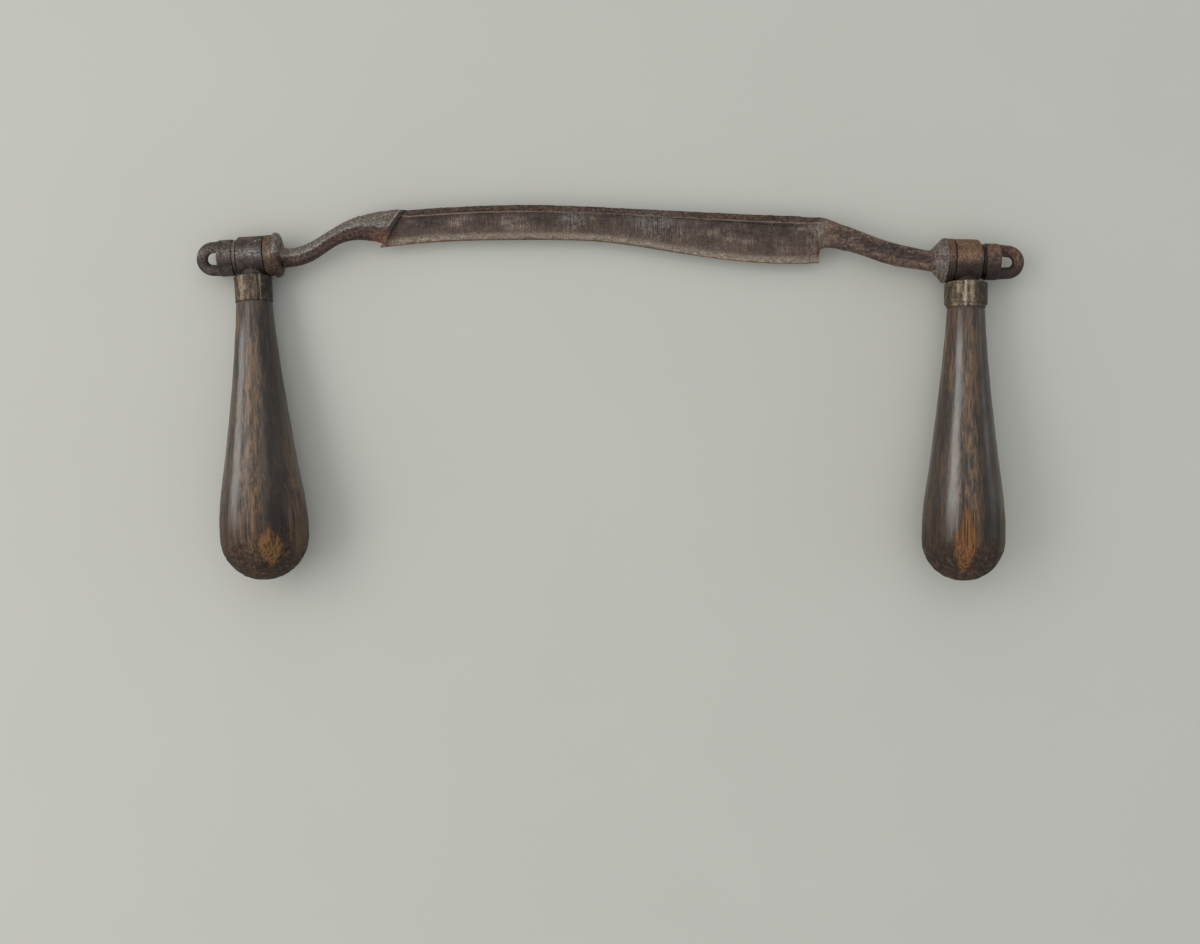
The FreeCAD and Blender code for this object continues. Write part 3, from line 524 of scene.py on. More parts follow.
def handle_wood(side, light, dark, patch_at, patch_size, bare):
    """patch_at and patch_size are in millimetres: across the handle, and down it."""
    finish = Finish(side + "_handle_wood")
    local, rightwards, down, upwards = in_handle_frame(finish, side)

    def grain(size, stretch, detail, roughness, distortion=0.0):
        """Noise drawn out along the handle."""
        drawn_out = finish.at(size=(1, stretch, 1), where=local)
        return finish.noise(size * MM, drawn_out, detail, roughness, distortion)

    fibres = grain(0.75, 90, 5.0, 0.8)
    rings = grain(1.9, 60, 6.0, 0.7, 0.1)
    clouds = grain(14, 2.8, 5.0, 0.55)
    stain = grain(4.0, 6, 7.0, 0.75)
    middle = tuple(a * 0.62 + b * 0.38 for a, b in zip(dark, light))
    tone = rings * 0.28 + fibres * 0.52 + clouds * 0.20
    colour = finish.ramp(tone, [(0.455, dark), (0.495, middle), (0.55, light)])

    wander = (clouds - 0.5) * 9.0 + (rings - 0.5) * 7.0
    # Painted shade on the right side.
    shaded = finish.step(rightwards + wander, 0.5, 6.5) * (1.0 - 0.45 * finish.step(rightwards, 11.0, 17.0))
    colour = finish.mix(shaded * 0.80, colour, shade(21, 17, 17))
    # Painted shade along the far left edge.
    outer = finish.fall(rightwards + wander * 0.6, -13.0, -6.0)
    colour = finish.mix(outer * 0.60, colour, shade(40, 31, 27))
    colour = finish.mix(finish.step(stain, 0.50, 0.66) * 0.45, colour, shade(32, 26, 23))
    worn = finish.step(fibres, 0.58, 0.70) * finish.step(clouds, 0.45, 0.60)
    colour = finish.mix(worn * 0.34, colour, shade(134, 100, 66))

    # A pale streak left of the crown on the upper half is a painted highlight.
    girth = (rightwards * rightwards + (upwards / MM) ** 2.0) ** 0.5
    lean = abs(rightwards / girth + 0.47 + (stain - 0.5) * 0.25)
    painted_streak_highlight = finish.fall(lean, 0.03, 0.20) * finish.step(upwards, 0.0, 3.0 * MM)
    painted_streak_highlight = painted_streak_highlight * finish.step(down, 26.0, 44.0) * finish.fall(down + clouds * 20.0, 118.0, 146.0)
    colour = finish.mix(painted_streak_highlight * (0.28 + fibres * 0.5), colour, shade(150, 147, 142))
    neck = finish.fall(down + stain * 14.0, 28.0, 42.0)
    colour = finish.mix(neck * 0.45, colour, shade(34, 28, 27))

    pocks = finish.noise(2.6 * MM, local, detail=9.0, roughness=0.85)
    smears = finish.noise(6 * MM, local, detail=4.0)
    chewed = finish.step(down + smears * 34.0, 146.0, 158.0)
    tones = [shade(32, 25, 21), shade(50, 39, 32), shade(92, 73, 57), shade(62, 48, 38)]
    scars = finish.ramp(pocks, list(zip((0.40, 0.50, 0.60, 0.70), tones)))
    colour = finish.mix(chewed * 0.85, colour, scars)
    patch = split_patch(finish, side, local, patch_at, patch_size) * finish.step(upwards, 0.0, 4.0 * MM)
    splits = finish.step(grain(0.7, 26, 4.0, 0.7), 0.49, 0.58)
    bare_wood = finish.mix(fibres, tuple(v * 0.7 for v in bare), tuple(v * 1.35 for v in bare))
    bare_wood = finish.mix(splits * 0.8, bare_wood, shade(46, 30, 23))
    colour = finish.mix(patch * 0.80, colour, bare_wood)

    finish.shader.inputs["Coat Roughness"].default_value = 0.20
    finish.shader.inputs["Specular IOR Level"].default_value = 0.28
    polished = 0.62 + 0.38 * finish.step(stain + fibres * 0.6, 0.92, 0.70)
    gloss = finish.fall(down + smears * 30.0, 112.0, 150.0) * (1.0 - patch) * polished * 0.7
    finish.tree.links.new(gloss.socket, finish.shader.inputs["Coat Weight"])
    roughness = 0.36 + 0.24 * fibres + 0.12 * stain + 0.36 * chewed + 0.3 * patch
    height = fibres * 0.3 + rings * 0.2 - splits * patch * 0.6 + pocks * chewed * 1.5 - patch * 0.8
    return finish.finish(colour, finish.limit(roughness), 0.0, finish.raise_by(height, 0.20 * MM, 0.7))


# %% [markdown]
# Ferrules are sleeves of soft metal that keep the wood from splitting. Years of handling have drawn
# long streaks down them, so the pattern is stretched along the handle. A few bright streaks at fixed
# places across each ferrule are painted highlights, and its right side is darkened with painted shade.

# %% Ferrule metal
def ferrule_metal(side, dark, body, bright, gleam, sheen_and_rub):
    """Lists painted highlight streaks last: place and half width across in millimetres, and strength."""
    finish = Finish(side + "_ferrule_metal")
    local, rightwards = in_handle_frame(finish, side)[:2]
    streaks = finish.noise(1.3 * MM, finish.at(size=(1, 7, 1), where=local), detail=6.0, roughness=0.65)
    patches = finish.noise(3.2 * MM, local, detail=6.0)
    grain = finish.noise(0.8 * MM, local, detail=6.0, roughness=0.75)
    tone = streaks * 0.45 + patches * 0.55
    colour = finish.ramp(tone, [(0.36, dark), (0.48, body), (0.62, bright)])
    colour = finish.mix(finish.step(streaks, 0.58, 0.70) * 0.5, colour, gleam)
    colour = finish.mix(finish.worn_edges() * 0.55, colour, gleam)
    # Painted shade on the right side.
    shaded = finish.step(rightwards + (patches - 0.5) * 6.0, 1.0, 5.0)
    colour = finish.mix(shaded * 0.65, colour, shade(34, 29, 29))
    # Streaks at fixed places across the ferrule are painted highlights.
    for middle, half, share in sheen_and_rub:
        away = abs(rightwards - middle + (streaks - 0.5) * 3.0)
        colour = finish.mix(finish.fall(away, 0.1 * half, half) * share, colour, gleam)
    colour = finish.mix(0.85, colour, finish.ramp(grain, PITTING), "MULTIPLY")
    roughness = 0.34 + 0.2 * patches + 0.1 * grain
    dents = finish.raise_by(streaks * 0.5 + grain * 0.3 + patches * 0.4, 0.10 * MM, 0.8)
    return finish.finish(colour, roughness, 0.6, dents)


# %% [markdown]
# Each piece now gets its own colours. They are written as they look on a screen, from 0 to 255.

# %% Materials of the pieces
SLOTS = {
    "hub": "hub_iron", "nut": "nut_iron", "ring": "ring_brass", "washer": "washer_steel", "pin": "pin_steel",
}
IRONS = (
    # piece, scale, rust, specks, bare metal, size of patches, how rusty, how rubbed with painted crown
    # highlight, how much painted shade
    ("left_hub", (48, 40, 38), (90, 72, 61), (124, 92, 68), (172, 170, 168), 2.6, 0.5, 0.75, 0.25),
    ("right_hub", (42, 33, 29), (114, 84, 59), (182, 140, 92), (160, 146, 130), 2.0, 0.8, 0.35, 0.85),
    ("left_nut", (44, 37, 34), (90, 75, 65), (122, 94, 72), (164, 154, 144), 2.6, 0.5, 0.75, 0.35),
    ("right_nut", (42, 33, 30), (112, 80, 60), (142, 104, 76), (150, 134, 120), 1.9, 0.65, 0.4, 0.8),
    ("left_ring", (48, 37, 30), (100, 76, 54), (148, 110, 74), (162, 148, 126), 1.4, 0.8, 0.7, 0.45),
    ("right_ring", (42, 32, 28), (104, 74, 50), (154, 112, 72), (146, 128, 110), 1.4, 0.8, 0.5, 0.75),
    ("left_washer", (44, 37, 35), (84, 68, 58), (110, 82, 60), (140, 128, 116), 2.0, 0.5, 0.5, 0.4),
    ("right_washer", (22, 18, 18), (40, 28, 24), (60, 40, 30), (70, 64, 60), 2.0, 0.3, 0.3, 0.5),
    ("pin", (48, 42, 39), (76, 60, 50), (100, 70, 50), (140, 134, 128), 1.0, 0.4, 0.5, 0.0),
)
FERRULES = {
    # dark, body, bright and gleam, then the painted highlight streaks
    "left": (
        (36, 30, 27), (74, 62, 51), (118, 102, 82), (172, 156, 128), ((-4.0, 1.6, 0.5), (4.6, 0.7, 0.5)),
    ),
    "right": (
        (40, 34, 29), (84, 72, 55), (130, 115, 86), (190, 178, 156), ((-2.4, 1.2, 0.6), (0.4, 1.6, 0.35)),
    ),
}
HANDLES = {
    # light, dark and bare wood, then the place and the size of the split patch
    "left": ((112, 84, 55), (27, 22, 18), (120, 88, 54), (6.0, 134.5), (6.2, 9.5)),
    "right": ((110, 83, 55), (26, 21, 17), (126, 86, 52), (-3.2, 129.0), (6.0, 15.5)),
}
finishes = {}
for piece, *tones, patch, rusty, sheen_and_rub, lower_shade_share in IRONS:
    pivot = handle_frame["right" if "right" in piece else "left"].translation
    name = piece + "_" + SLOTS[piece.split("_")[-1]]
    finishes[piece] = worn_iron(name, *(shade(*tone) for tone in tones), pivot, patch, rusty, sheen_and_rub, lower_shade_share)
for side in SIDES:
    *tones, sheen_and_rub = FERRULES[side]
    finishes[side + "_ferrule"] = ferrule_metal(side, *(shade(*tone) for tone in tones), sheen_and_rub)
    light, dark, bare, place, size = HANDLES[side]
    finishes[side + "_handle"] = handle_wood(side, shade(*light), shade(*dark), place, size, shade(*bare))
print("finishes:", sorted(material.name for material in finishes.values()))

# %% [markdown]
# ## Turned pieces
# Handles, ferrules, rings, hubs and nuts are all round. A profile is drawn point by point by pulling
# one corner along, and it is then spun a full turn, as on a lathe. The piece is made at the origin in
# its own frame and put in its place at the end, so that its object is neither moved nor turned.

# %% Helpers for turning
SPARE = 0.14 * MM  # radius added before a piece is dented, because dents take away about as much


def weld(distance):
    """In edit mode: selects everything, and merges corners closer than that."""
    bpy.ops.mesh.select_all(action="SELECT")
    bpy.ops.mesh.remove_doubles(threshold=distance)


def start_corner(name, place):
    """A plane whose corners are merged into a single one."""
    deselect()
    bpy.ops.mesh.primitive_plane_add(size=MM)
    piece = bpy.context.object
    piece.name = piece.data.name = name
    bpy.ops.object.mode_set(mode="EDIT")
    bpy.ops.mesh.merge(type="CENTER")
    bpy.ops.transform.translate(value=place)
    return piece


def turn(name, profile, axis, steps=96):
    """Spins a profile of (distance along the axis, radius) pairs. axis is X, or Y pointing down."""
    if axis == "X":
        points = [Vector((along, radius, 0)) for along, radius in profile]
        spin_axis = (1, 0, 0)
    else:
        points = [Vector((radius, -along, 0)) for along, radius in profile]
        spin_axis = (0, 1, 0)
    piece = start_corner(name, points[0])
    for point, following in zip(points, points[1:]):
        bpy.ops.mesh.extrude_region_move(TRANSFORM_OT_translate={"value": following - point})
    weld(0.001 * MM)
    bpy.ops.mesh.spin(steps=steps, angle=2 * math.pi, center=(0, 0, 0), axis=spin_axis)
    weld(0.002 * MM)
    bpy.ops.mesh.normals_make_consistent(inside=False)
    bpy.ops.object.mode_set(mode="OBJECT")
    return piece


def modify(piece, kind, **settings):
    """Adds a modifier, sets it and applies it."""
    choose(piece)
    bpy.ops.object.modifier_add(type=kind)
    modifier = piece.modifiers[-1]
    for key, setting in settings.items():
        setattr(modifier, key, setting)
    bpy.ops.object.modifier_apply(modifier=modifier.name)


def group_of(piece, name, weight_at):
    """A vertex group, with the weight that a function gives for each corner's place."""
    group = piece.vertex_groups.new(name=name)
    for corner in piece.data.vertices:
        weight = min(1.0, float(weight_at(corner.co)))
        if weight > 0:
            group.add([corner.index], weight, "REPLACE")


def blotches(size, hard=False):
    """A cloudy texture for shaping."""
    texture = bpy.data.textures.new("blotches", "CLOUDS")
    texture.noise_scale = size
    texture.noise_depth = 3
    texture.noise_type = "HARD_NOISE" if hard else "SOFT_NOISE"
    return texture


def roughen(piece, size, depth, hard=False, group=""):
    """Presses hollows about that size into the surface, never outwards."""
    modify(
        piece, "DISPLACE", texture=blotches(size, hard), texture_coords="LOCAL",
        strength=depth, mid_level=1.0, vertex_group=group,
    )


def put_in_place(piece, place, material, body, node):
    choose(piece)
    piece.matrix_world = place
    bpy.ops.object.transform_apply(location=True, rotation=True, scale=True)
    bpy.ops.object.shade_smooth_by_angle(angle=math.radians(50))
    piece.data.materials.clear()
    piece.data.materials.append(material)
    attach(piece, body)
    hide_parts(node)
    print(piece.name, "corners", len(piece.data.vertices))


def finely(profile, spacing):
    """The same profile with more points, no further apart than spacing."""
    points = [profile[0]]
    for (x0, y0), (x1, y1) in zip(profile, profile[1:]):
        count = max(1, math.ceil(math.hypot(x1 - x0, y1 - y0) / spacing))
        points += [(x0 + (x1 - x0) * i / count, y0 + (y1 - y0) * i / count) for i in range(1, count + 1)]
    return points


# %% [markdown]
# The handle's outline is read from the solid, ring by ring. The tenon inside the ferrule and the hole
# for the hub's stem are part of it. Old handles are not perfectly round any more, so shallow hollows
# are pressed in all over and deeper ones into the butt.

# %% Handles
def rings_of(node, place):
    """(distance down the handle, radius) of every ring of a round solid, sorted."""
    corners = seen_from(node, place)
    pairs = np.c_[-corners[:, 1], np.hypot(corners[:, 0], corners[:, 2])]
    return sorted({(round(a * 1e5) / 1e5, round(r * 1e5) / 1e5) for a, r in pairs})


SKIN_SPARE = 0.3 * MM  # added to the skin above the butt, where the broad hollows take it away again


def make_handle(side):
    own = handle_frame[side]
    rings = rings_of(side + "_handle", own)
    start, end = rings[0][0], rings[-1][0]
    stem_r = min(radius for along, radius in rings if along < start + MM)
    tenon_r = max(radius for along, radius in rings if along < start + MM)
    neck = min(along for along, radius in rings if radius > tenon_r + 0.3 * MM)
    bore_end = max(along for along, radius in rings if abs(radius - stem_r) < 0.05 * MM and along < 70 * MM)
    outer = [(a, r) for a, r in rings if a >= neck - 0.01 * MM and r > tenon_r + 0.3 * MM or a > 100 * MM]
    distances = np.array([a for a, r in outer])
    above_butt = np.clip((end - 46 * MM - distances) / (20 * MM), 0, 1)
    radii = np.array([r for a, r in outer]) + SKIN_SPARE * above_butt
    down = np.r_[np.arange(neck, end - 12 * MM, 1.0 * MM), np.linspace(end - 12 * MM, end, 40)]
    skin = [(a, float(np.interp(a, distances, radii))) for a in down]
    skin[-1] = (end, 0.0)
    skin[0] = (neck + 0.12 * MM, skin[0][1] - 0.6 * MM)
    profile = [(bore_end, 0.0), (bore_end, stem_r), (start, stem_r), (start, tenon_r), (neck, tenon_r)] + skin
    piece = turn(side + "_turned_handle", profile, "Y", steps=144)

    def on_skin(place):
        outside = math.hypot(place.x, place.z) > stem_r + 0.1 * MM
        return outside and -place.y > neck + 0.5 * MM or -place.y > bore_end + 2 * MM

    group_of(piece, "skin", on_skin)
    group_of(piece, "butt", lambda place: on_skin(place) * (28 * MM - end - place.y) / (18 * MM))
    roughen(piece, 34 * MM, 0.6 * MM, group="skin")
    roughen(piece, 9 * MM, 0.25 * MM, group="skin")
    roughen(piece, 3.2 * MM, 0.55 * MM, hard=True, group="butt")
    name = side + "_handle"
    put_in_place(piece, own, finishes[name], name, name)


for side in SIDES:
    make_handle(side)


# %% [markdown]
# A ferrule is a thin tube with a rounded upper lip. The left one is nearly straight. The right one
# swells and then draws in to a small bead at its lower end. A cross pin goes through it, so two
# small holes are cut with a round bar.

# %% Ferrules
def cut_away(piece, tool):
    modify(piece, "BOOLEAN", operation="DIFFERENCE", solver="EXACT", object=tool)
    bpy.data.objects.remove(tool)


def make_ferrule(side):
    own = handle_frame[side]
    rings = rings_of(side + "_ferrule", own)
    start, end = rings[0][0], rings[-1][0]
    bore = min(radius for along, radius in rings if along < start + 0.1 * MM)
    swell = max(radius for along, radius in rings)
    tail = max(radius for along, radius in rings if along > end - 0.05 * MM)
    straight = max(along for along, radius in rings if radius > swell - 0.01 * MM)
    swell, tail = swell + SPARE, tail + SPARE
    lip = 0.6 * MM
    outer = [(start, bore), (start, swell - lip), (start + 0.15 * MM, swell - 0.28 * MM)]
    outer += [(start + 0.5 * MM, swell)]
    if side == "left":
        outer += [(start + 1.1 * MM, swell), (start + 1.6 * MM, swell - 0.22 * MM)]
        outer += [(end - 0.9 * MM, tail + 0.02 * MM), (end - 0.35 * MM, tail + 0.05 * MM)]
        outer += [(end, tail - 0.25 * MM), (end, bore)]
    else:
        outer += [(start + 1.4 * MM, swell - 0.03 * MM), (straight - 1.0 * MM, swell)]
        outer += [(straight + 0.6 * MM, swell - 0.16 * MM), (end - 2.0 * MM, tail + 0.52 * MM)]
        outer += [(end - 1.5 * MM, tail + 0.18 * MM), (end - 1.1 * MM, tail + 0.22 * MM)]
        outer += [(end - 0.5 * MM, tail + 0.10 * MM), (end, tail - 0.25 * MM), (end, bore)]
    profile = finely(outer, 0.4 * MM) + [(start, bore)]
    piece = turn(side + "_drawn_ferrule", profile, "Y", steps=128)
    pin = seen_from(side + "_ferrule_pin", own)
    deselect()
    bpy.ops.mesh.primitive_cylinder_add(
        vertices=32, radius=(pin[:, 2].max() - pin[:, 2].min()) / 2 + 0.02 * MM, depth=4 * swell,
        location=(0, (pin[:, 1].min() + pin[:, 1].max()) / 2, 0), rotation=(0, math.pi / 2, 0),
    )
    cut_away(piece, bpy.context.object)
    group_of(piece, "skin", lambda place: math.hypot(place.x, place.z) > bore + 0.3 * MM)
    roughen(piece, 7 * MM, 0.22 * MM, group="skin")
    roughen(piece, 1.4 * MM, 0.06 * MM, group="skin")
    name = side + "_ferrule"
    put_in_place(piece, own, finishes[name], side + "_handle", name)


for side in SIDES:
    make_ferrule(side)

# %% [markdown]
# The hub is a T: a barrel that turns on the spindle, a short neck under it and a long stem that goes
# down into the wood. Barrel and stem are turned separately and laid through each other. A voxel
# remesh then melts them into one casting with soft inside corners, and hollows are pressed in.

# %% Helpers for castings
def melt(pieces, voxel, name):
    """Joins closed pieces into one skin, with voxels of that size."""
    choose(*reversed(pieces))
    if len(pieces) > 1:
        bpy.ops.object.join()
    whole = bpy.context.object
    whole.name = whole.data.name = name
    modify(whole, "REMESH", mode="VOXEL", voxel_size=voxel)
    modify(whole, "SMOOTH", factor=0.5, iterations=3)
    return whole


def extent(node, place, column):
    corners = seen_from(node, place)
    return corners[:, column].min(), corners[:, column].max()


# %% Hubs
def make_hub(side):
    own = handle_frame[side]
    corners = seen_from(side + "_hub", own)
    barrel = corners[corners[:, 1] > -5 * MM]
    inner, outer = barrel[:, 0].min(), barrel[:, 0].max()
    radii = np.hypot(barrel[:, 1], barrel[:, 2])
    bore, rim = radii.min(), radii.max()
    at_end = radii[barrel[:, 0] > outer - 0.01 * MM]
    chamfer = rim - at_end.max()
    rim += SPARE
    end = -corners[:, 1].min()
    soft = 0.35 * MM
    profile = [
        (inner, bore), (inner, rim - soft), (inner + soft, rim), (outer - chamfer - soft, rim),
        (outer - chamfer + 0.2 * MM, rim - 0.15 * MM), (outer - soft, rim - chamfer + 0.1 * MM),
        (outer, rim - chamfer - soft), (outer, bore), (inner, bore),
    ]
    piece = turn(side + "_barrel", profile, "X", steps=120)
    ferrule_start = -extent(side + "_ferrule", own, 1)[1]
    neck_r = corners[(corners[:, 1] < -rim) & (corners[:, 1] > -ferrule_start - 0.1 * MM)]
    neck_r = np.hypot(neck_r[:, 0], neck_r[:, 2]).max()
    stem_r = corners[corners[:, 1] < -ferrule_start - 5 * MM]
    stem_r = np.hypot(stem_r[:, 0], stem_r[:, 2]).max()
    root = (bore + rim) / 2
    stem = [
        (root, 0.0), (root, neck_r), (ferrule_start - 0.06 * MM, neck_r), (ferrule_start - 0.06 * MM, stem_r),
        (end - 1.5 * MM, stem_r), (end, stem_r - 1.5 * MM), (end, 0.0),
    ]
    whole = melt([piece, turn(side + "_stem", stem, "Y", steps=64)], 0.34 * MM, side + "_cast_hub")
    roughen(whole, 4.5 * MM, 0.22 * MM)
    roughen(whole, 1.1 * MM, 0.10 * MM, hard=True)
    put_in_place(whole, own, finishes[side + "_hub"], side + "_handle", side + "_hub")


for side in SIDES:
    make_hub(side)

# %% [markdown]
# The seat ring sits on the spindle between the collar and the hub, and stands a little proud of the
# hub. It is turned as a plain ring with rounded corners, and remeshed so that it can be dented.

# %% Seat rings
def make_ring(side):
    own = spindle_frame[side]
    corners = seen_from(side + "_seat_ring", own)
    radii = np.hypot(corners[:, 1], corners[:, 2])
    low, high, bore, rim = corners[:, 0].min(), corners[:, 0].max(), radii.min(), radii.max() + SPARE / 2
    soft = 0.45 * MM
    profile = [
        (low, bore), (low, rim - soft), (low + 0.15 * MM, rim - 0.12 * MM), (low + soft, rim),
        (high - soft, rim), (high - 0.15 * MM, rim - 0.12 * MM), (high, rim - soft), (high, bore), (low, bore),
    ]
    piece = melt([turn(side + "_ring", profile, "X", steps=120)], 0.3 * MM, side + "_turned_ring")
    roughen(piece, 3.5 * MM, 0.18 * MM)
    roughen(piece, 1.0 * MM, 0.08 * MM, hard=True)
    put_in_place(piece, own, finishes[side + "_ring"], "blade", side + "_seat_ring")


for side in SIDES:
    make_ring(side)

# %% [markdown]
# The eye nut is a round nut with a hanging eye on its end. The bow is a round bar: one ring of the
# bar is drawn out along the first side, spun round the end, and drawn back along the second side.
# Nut and bow are melted together like the hub, so the bar grows out of the nut with no seam.

# %% Eye nuts
EYES = {"left": (2.75 * MM, 5.3 * MM), "right": (2.9 * MM, 5.0 * MM)}  # radius of the bar, and of the bow


def make_eye_nut(side):
    own = spindle_frame[side]
    bar_r, bow_r = EYES[side]
    corners = seen_from(side + "_eye_nut", own)
    radii = np.hypot(corners[:, 1], corners[:, 2])
    face, reach = corners[:, 0].min(), corners[:, 0].max()
    on_face = radii[corners[:, 0] < face + 0.01 * MM]
    bore, rim = on_face.min(), on_face.max()
    end = corners[np.abs(radii - rim) < 0.02 * MM][:, 0].max() + 0.9 * MM
    rim += SPARE
    soft = 0.5 * MM
    profile = [
        (face, bore), (face, rim - soft), (face + soft, rim), (end - 0.9 * MM, rim),
        (end - 0.3 * MM, rim - 0.4 * MM), (end, rim - 1.1 * MM), (end, 0.0),
        (end - 1.0 * MM, 0.0), (end - 1.0 * MM, bore), (face, bore),
    ]
    nut = turn(side + "_nut", profile, "X", steps=120)
    half = rim - 0.1 * MM - bar_r
    centre = reach - bar_r - bow_r
    root = end - 1.6 * MM
    deselect()
    bpy.ops.mesh.primitive_circle_add(vertices=40, radius=bar_r, location=(0, 0, 0))
    bow = bpy.context.object
    bpy.ops.object.mode_set(mode="EDIT")
    bpy.ops.transform.rotate(value=math.pi / 2, orient_axis="Y", center_override=(0, 0, 0))
    bpy.ops.transform.translate(value=(root, half, 0))
    bpy.ops.mesh.extrude_region_move(TRANSFORM_OT_translate={"value": (centre - root, bow_r - half, 0)})
    bpy.ops.mesh.spin(steps=40, angle=math.pi, center=(centre, 0, 0), axis=(0, 0, 1))
    bpy.ops.mesh.extrude_region_move(TRANSFORM_OT_translate={"value": (root - centre, bow_r - half, 0)})
    weld(0.002 * MM)
    bpy.ops.mesh.fill_holes(sides=0)
    bpy.ops.mesh.select_all(action="SELECT")
    bpy.ops.mesh.normals_make_consistent(inside=False)
    bpy.ops.object.mode_set(mode="OBJECT")
    print(side, "bow", [round(v / MM, 2) for v in bow.dimensions])
    whole = melt([nut, bow], 0.26 * MM, side + "_cast_eye_nut")
    roughen(whole, 4.0 * MM, 0.20 * MM)
    roughen(whole, 1.0 * MM, 0.09 * MM, hard=True)
    put_in_place(whole, own, finishes[side + "_nut"], side + "_nut", side + "_eye_nut")


for side in SIDES:
    make_eye_nut(side)

# %% [markdown]
# ## The blade
# The blade keeps the solid's own shape, because its crank and its worn edge are what make it this
# knife. A copy of the mesh is cut into a fine grid by planes across it and along it, so that it can
# be roughened like a forging. The edge stays as keen as it was, because hollows are pressed in
# only away from it.

# %% Blade
def make_blade():
    piece = bpy.data.objects.new("forged_blade", frame["nodes"]["blade"].data.copy())
    bpy.context.scene.collection.objects.link(piece)
    choose(piece)
    bpy.ops.object.mode_set(mode="EDIT")
    weld(0.001 * MM)
    low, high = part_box("blade")
    for axis, first, spacing in ((0, 0.6 * MM, 1.3 * MM), (1, 0.6 * MM, 1.1 * MM), (2, 1.0 * MM, 1.2 * MM)):
        facing = tuple(float(index == axis) for index in range(3))
        for place in np.arange(low[axis] + first, high[axis], spacing):
            bpy.ops.mesh.select_all(action="SELECT")
            bpy.ops.mesh.bisect(
                plane_co=[place * share for share in facing], plane_no=facing, threshold=1e-7,
            )
    weld(0.01 * MM)
    bpy.ops.mesh.quads_convert_to_tris()
    bpy.ops.object.mode_set(mode="OBJECT")
    return piece


def outline_of(points, columns):
    """Lowest and highest y of the mesh near each x of columns."""
    lower, upper = [], []
    for x in columns:
        near = points[np.abs(points[:, 0] - x) < 1.0 * MM]
        lower.append(near[:, 1].min())
        upper.append(near[:, 1].max())
    return np.array(lower), np.array(upper)


# %% [markdown]
# The left collar is a rounded drum. The right one was left with six flats from the hammer. Both are
# spun like the other round pieces, the right one in six steps only, and joined to the forging over
# its own cones, which are first squeezed in a little.

# %% Collars
def squeeze_cone(piece, side):
    """Draws in what lies between the collar's rim and the tang, so that a new skin can cover it."""
    own = spindle_frame[side]
    bpy.ops.object.mode_set(mode="EDIT")
    bpy.ops.mesh.select_all(action="DESELECT")
    mesh = bmesh.from_edit_mesh(piece.data)
    inverse = own.inverted()
    for corner in mesh.verts:
        local = inverse @ corner.co
        beyond = -local.x - COLLAR_AT[side]
        if 1.0 * MM < beyond < CONE[side] and math.hypot(local.y, local.z) > TANG_REACH:
            corner.select = True
    mesh.select_flush(True)
    bmesh.update_edit_mesh(piece.data)
    middle = own @ Vector((-COLLAR_AT[side], 0, 0))
    bpy.ops.transform.resize(value=(1, SQUEEZE, SQUEEZE), center_override=middle)
    bpy.ops.object.mode_set(mode="OBJECT")


def turn_collar(side):
    """The collar's profile is measured back from its face, towards the tang."""
    face, rim = COLLAR_AT[side], COLLAR_R
    if side == "left":
        profile = [(face, 0.0), (face, rim - 0.4 * MM), (face + 0.4 * MM, rim)]
        for angle in np.linspace(0, math.pi / 2, 12):
            drop = 3.6 * MM * (1 - math.cos(angle)) ** 1.2
            profile.append((face + (0.9 + 2.0 * math.sin(angle)) * MM, rim - drop))
        profile += [(face + 3.3 * MM, 4.4 * MM), (face + 3.3 * MM, 0.0)]
        collar = turn(side + "_collar", [(-a, r) for a, r in finely(profile, 0.6 * MM)], "X", steps=96)
    else:
        profile = [(face, 0.0), (face, rim - 0.3 * MM), (face + 0.5 * MM, rim), (face + 1.4 * MM, rim)]
        profile += [(face + 6.2 * MM, 5.2 * MM), (face + 6.2 * MM, 0.0)]
        collar = turn(side + "_collar", [(-a, r) for a, r in finely(profile, 0.8 * MM)], "X", steps=6)
        sharp = math.radians(25)
        modify(collar, "BEVEL", width=0.35 * MM, segments=2, limit_method="ANGLE", angle_limit=sharp)
        modify(collar, "SUBSURF", subdivision_type="SIMPLE", levels=3, render_levels=3)
    collar.matrix_world = spindle_frame[side]
    return collar


CONE = {"left": 3.4 * MM, "right": 5.2 * MM}  # how far the cone reaches behind the face
TANG_REACH, SQUEEZE = 5.6 * MM, 0.82
COLLAR_AT = {side: -extent(side + "_seat_ring", spindle_frame[side], 0)[0] for side in SIDES}
COLLAR_R = spindle_frame["left"].translation.z - FLOOR_GAP
blade = make_blade()
for side in SIDES:
    squeeze_cone(blade, side)
collars = [turn_collar(side) for side in SIDES]
choose(*collars, blade)
bpy.ops.object.join()
print("collars joined, faces at", COLLAR_AT, "radius", COLLAR_R)

# %% Numbers across the blade
points = np.array([corner.co for corner in blade.data.vertices])
columns = np.arange(points[:, 0].min() + MM, points[:, 0].max() - MM, 1.0 * MM)
lower, upper = outline_of(points, columns)
low_y = np.interp(points[:, 0], columns, lower)
high_y = np.interp(points[:, 0], columns, upper)
steps = np.diff(lower) * (np.abs(columns[:-1]) < 0.125)
heel_at, toe_at = int(np.argmin(steps * (columns[:-1] < 0))) + 1, int(np.argmax(steps * (columns[:-1] > 0)))
heel, heel_y = float(columns[heel_at]) - 0.5 * MM, float(lower[heel_at])
toe, toe_y = float(columns[toe_at]) + 0.5 * MM, float(lower[toe_at])
print("blade corners", len(points))
print("heel at", round(heel, 4), round(heel_y, 4), "toe at", round(toe, 4), round(toe_y, 4))
numbers = {
    "across": (points[:, 1] - low_y) / np.maximum(high_y - low_y, MM),
    "from_edge": (points[:, 1] - low_y) / MM,
    "from_spine": (high_y - points[:, 1]) / MM,
}
for name, values in numbers.items():
    stored = blade.data.attributes.new(name, "FLOAT", "POINT")
    stored.data.foreach_set("value", values.astype(np.float32))
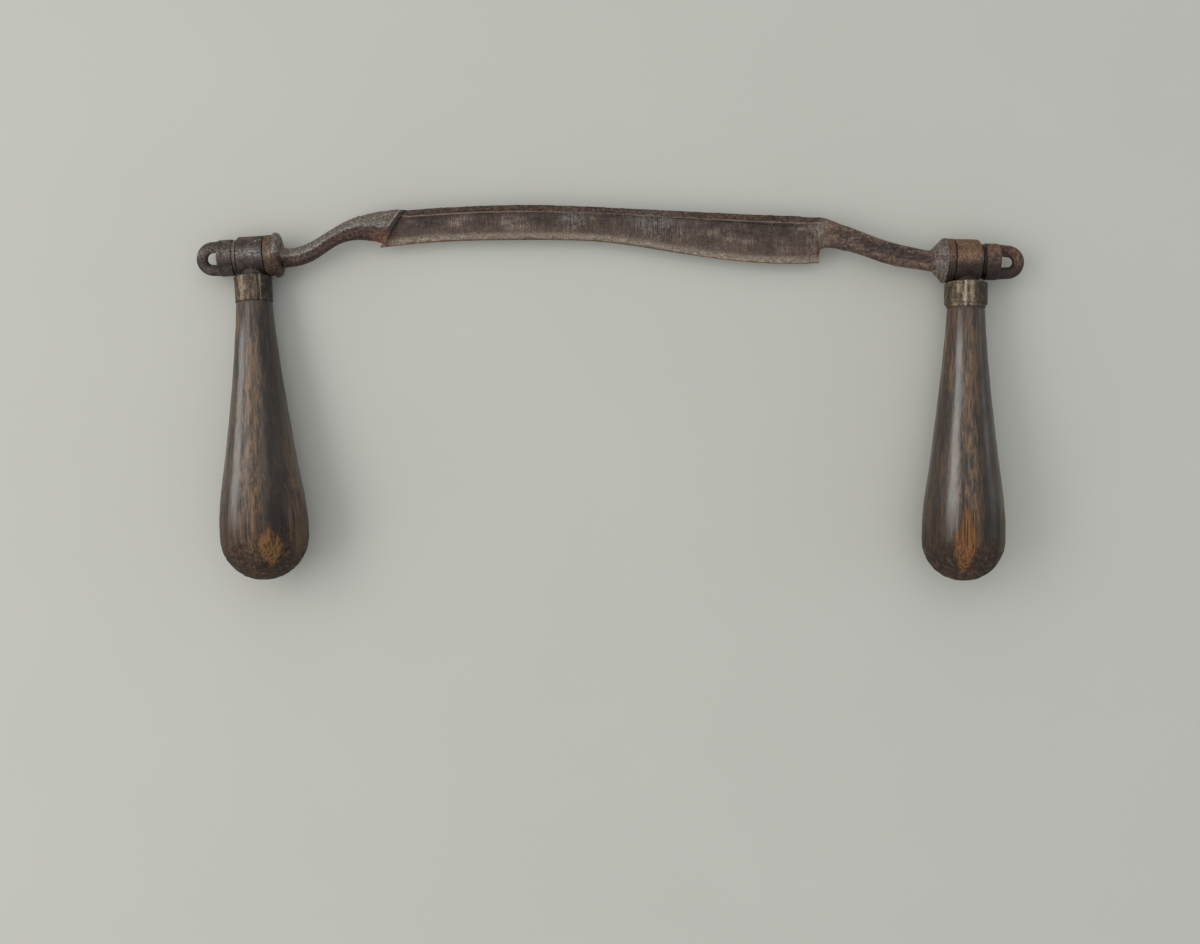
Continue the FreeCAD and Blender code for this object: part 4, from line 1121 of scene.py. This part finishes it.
forging = blade.vertex_groups.new(name="forging")
tangs = blade.vertex_groups.new(name="tangs")
shoulders = blade.vertex_groups.new(name="shoulders")
notches = blade.vertex_groups.new(name="notches")
seat_left = spindle_frame["left"].translation.x + COLLAR_AT["left"] + 4.5 * MM
seat_right = spindle_frame["right"].translation.x - COLLAR_AT["right"] - 6.5 * MM
for corner, from_edge in zip(blade.data.vertices, numbers["from_edge"]):
    x = corner.co.x
    if seat_left < x < seat_right:
        on_blade = heel < x < toe
        forging.add([corner.index], min(1.0, max(0.0, from_edge / 4)) if on_blade else 1.0, "REPLACE")
        if not heel - 1 * MM < x < toe + 1 * MM:
            tangs.add([corner.index], 1.0, "REPLACE")
        if from_edge > 9 and (x > toe - 9 * MM or x < heel + 6 * MM) and heel - 9 * MM < x < toe + 12 * MM:
            shoulders.add([corner.index], 1.0, "REPLACE")
        for inner, height in ((heel - 1.5 * MM, heel_y + 3.4 * MM), (toe + 1.2 * MM, toe_y + 4.6 * MM)):
            far = math.hypot(x - inner, corner.co.y - height)
            if far < 4.0 * MM:
                notches.add([corner.index], 1.0 - far / (4.5 * MM), "REPLACE")
modify(blade, "SMOOTH", factor=0.5, iterations=10, vertex_group="notches", use_z=False)
modify(blade, "SMOOTH", factor=0.5, iterations=3, vertex_group="tangs")
modify(blade, "SMOOTH", factor=0.5, iterations=30, vertex_group="shoulders")
roughen(blade, 11 * MM, 0.35 * MM, group="forging")
roughen(blade, 2.6 * MM, 0.10 * MM, hard=True, group="forging")
steel = blade_steel(Vector((heel, heel_y)), Vector((toe, toe_y)))
put_in_place(blade, Matrix.Identity(4), steel, "blade", "blade")

# %% [markdown]
# The thrust washers and the cross pins are plain pieces that hardly show. The solids are kept as they
# are, and only get their finish.

# %% Washers and pins
for side in SIDES:
    for node, finish_name in ((side + "_thrust_washer", side + "_washer"), (side + "_ferrule_pin", "pin")):
        kept = frame["nodes"][node]
        kept.data.materials.clear()
        kept.data.materials.append(finishes[finish_name])
        print(node, "keeps its solid, finish", finishes[finish_name].name)

# %% [markdown]
# Last, the selection is cleared.

# %% Clear the selection
deselect()
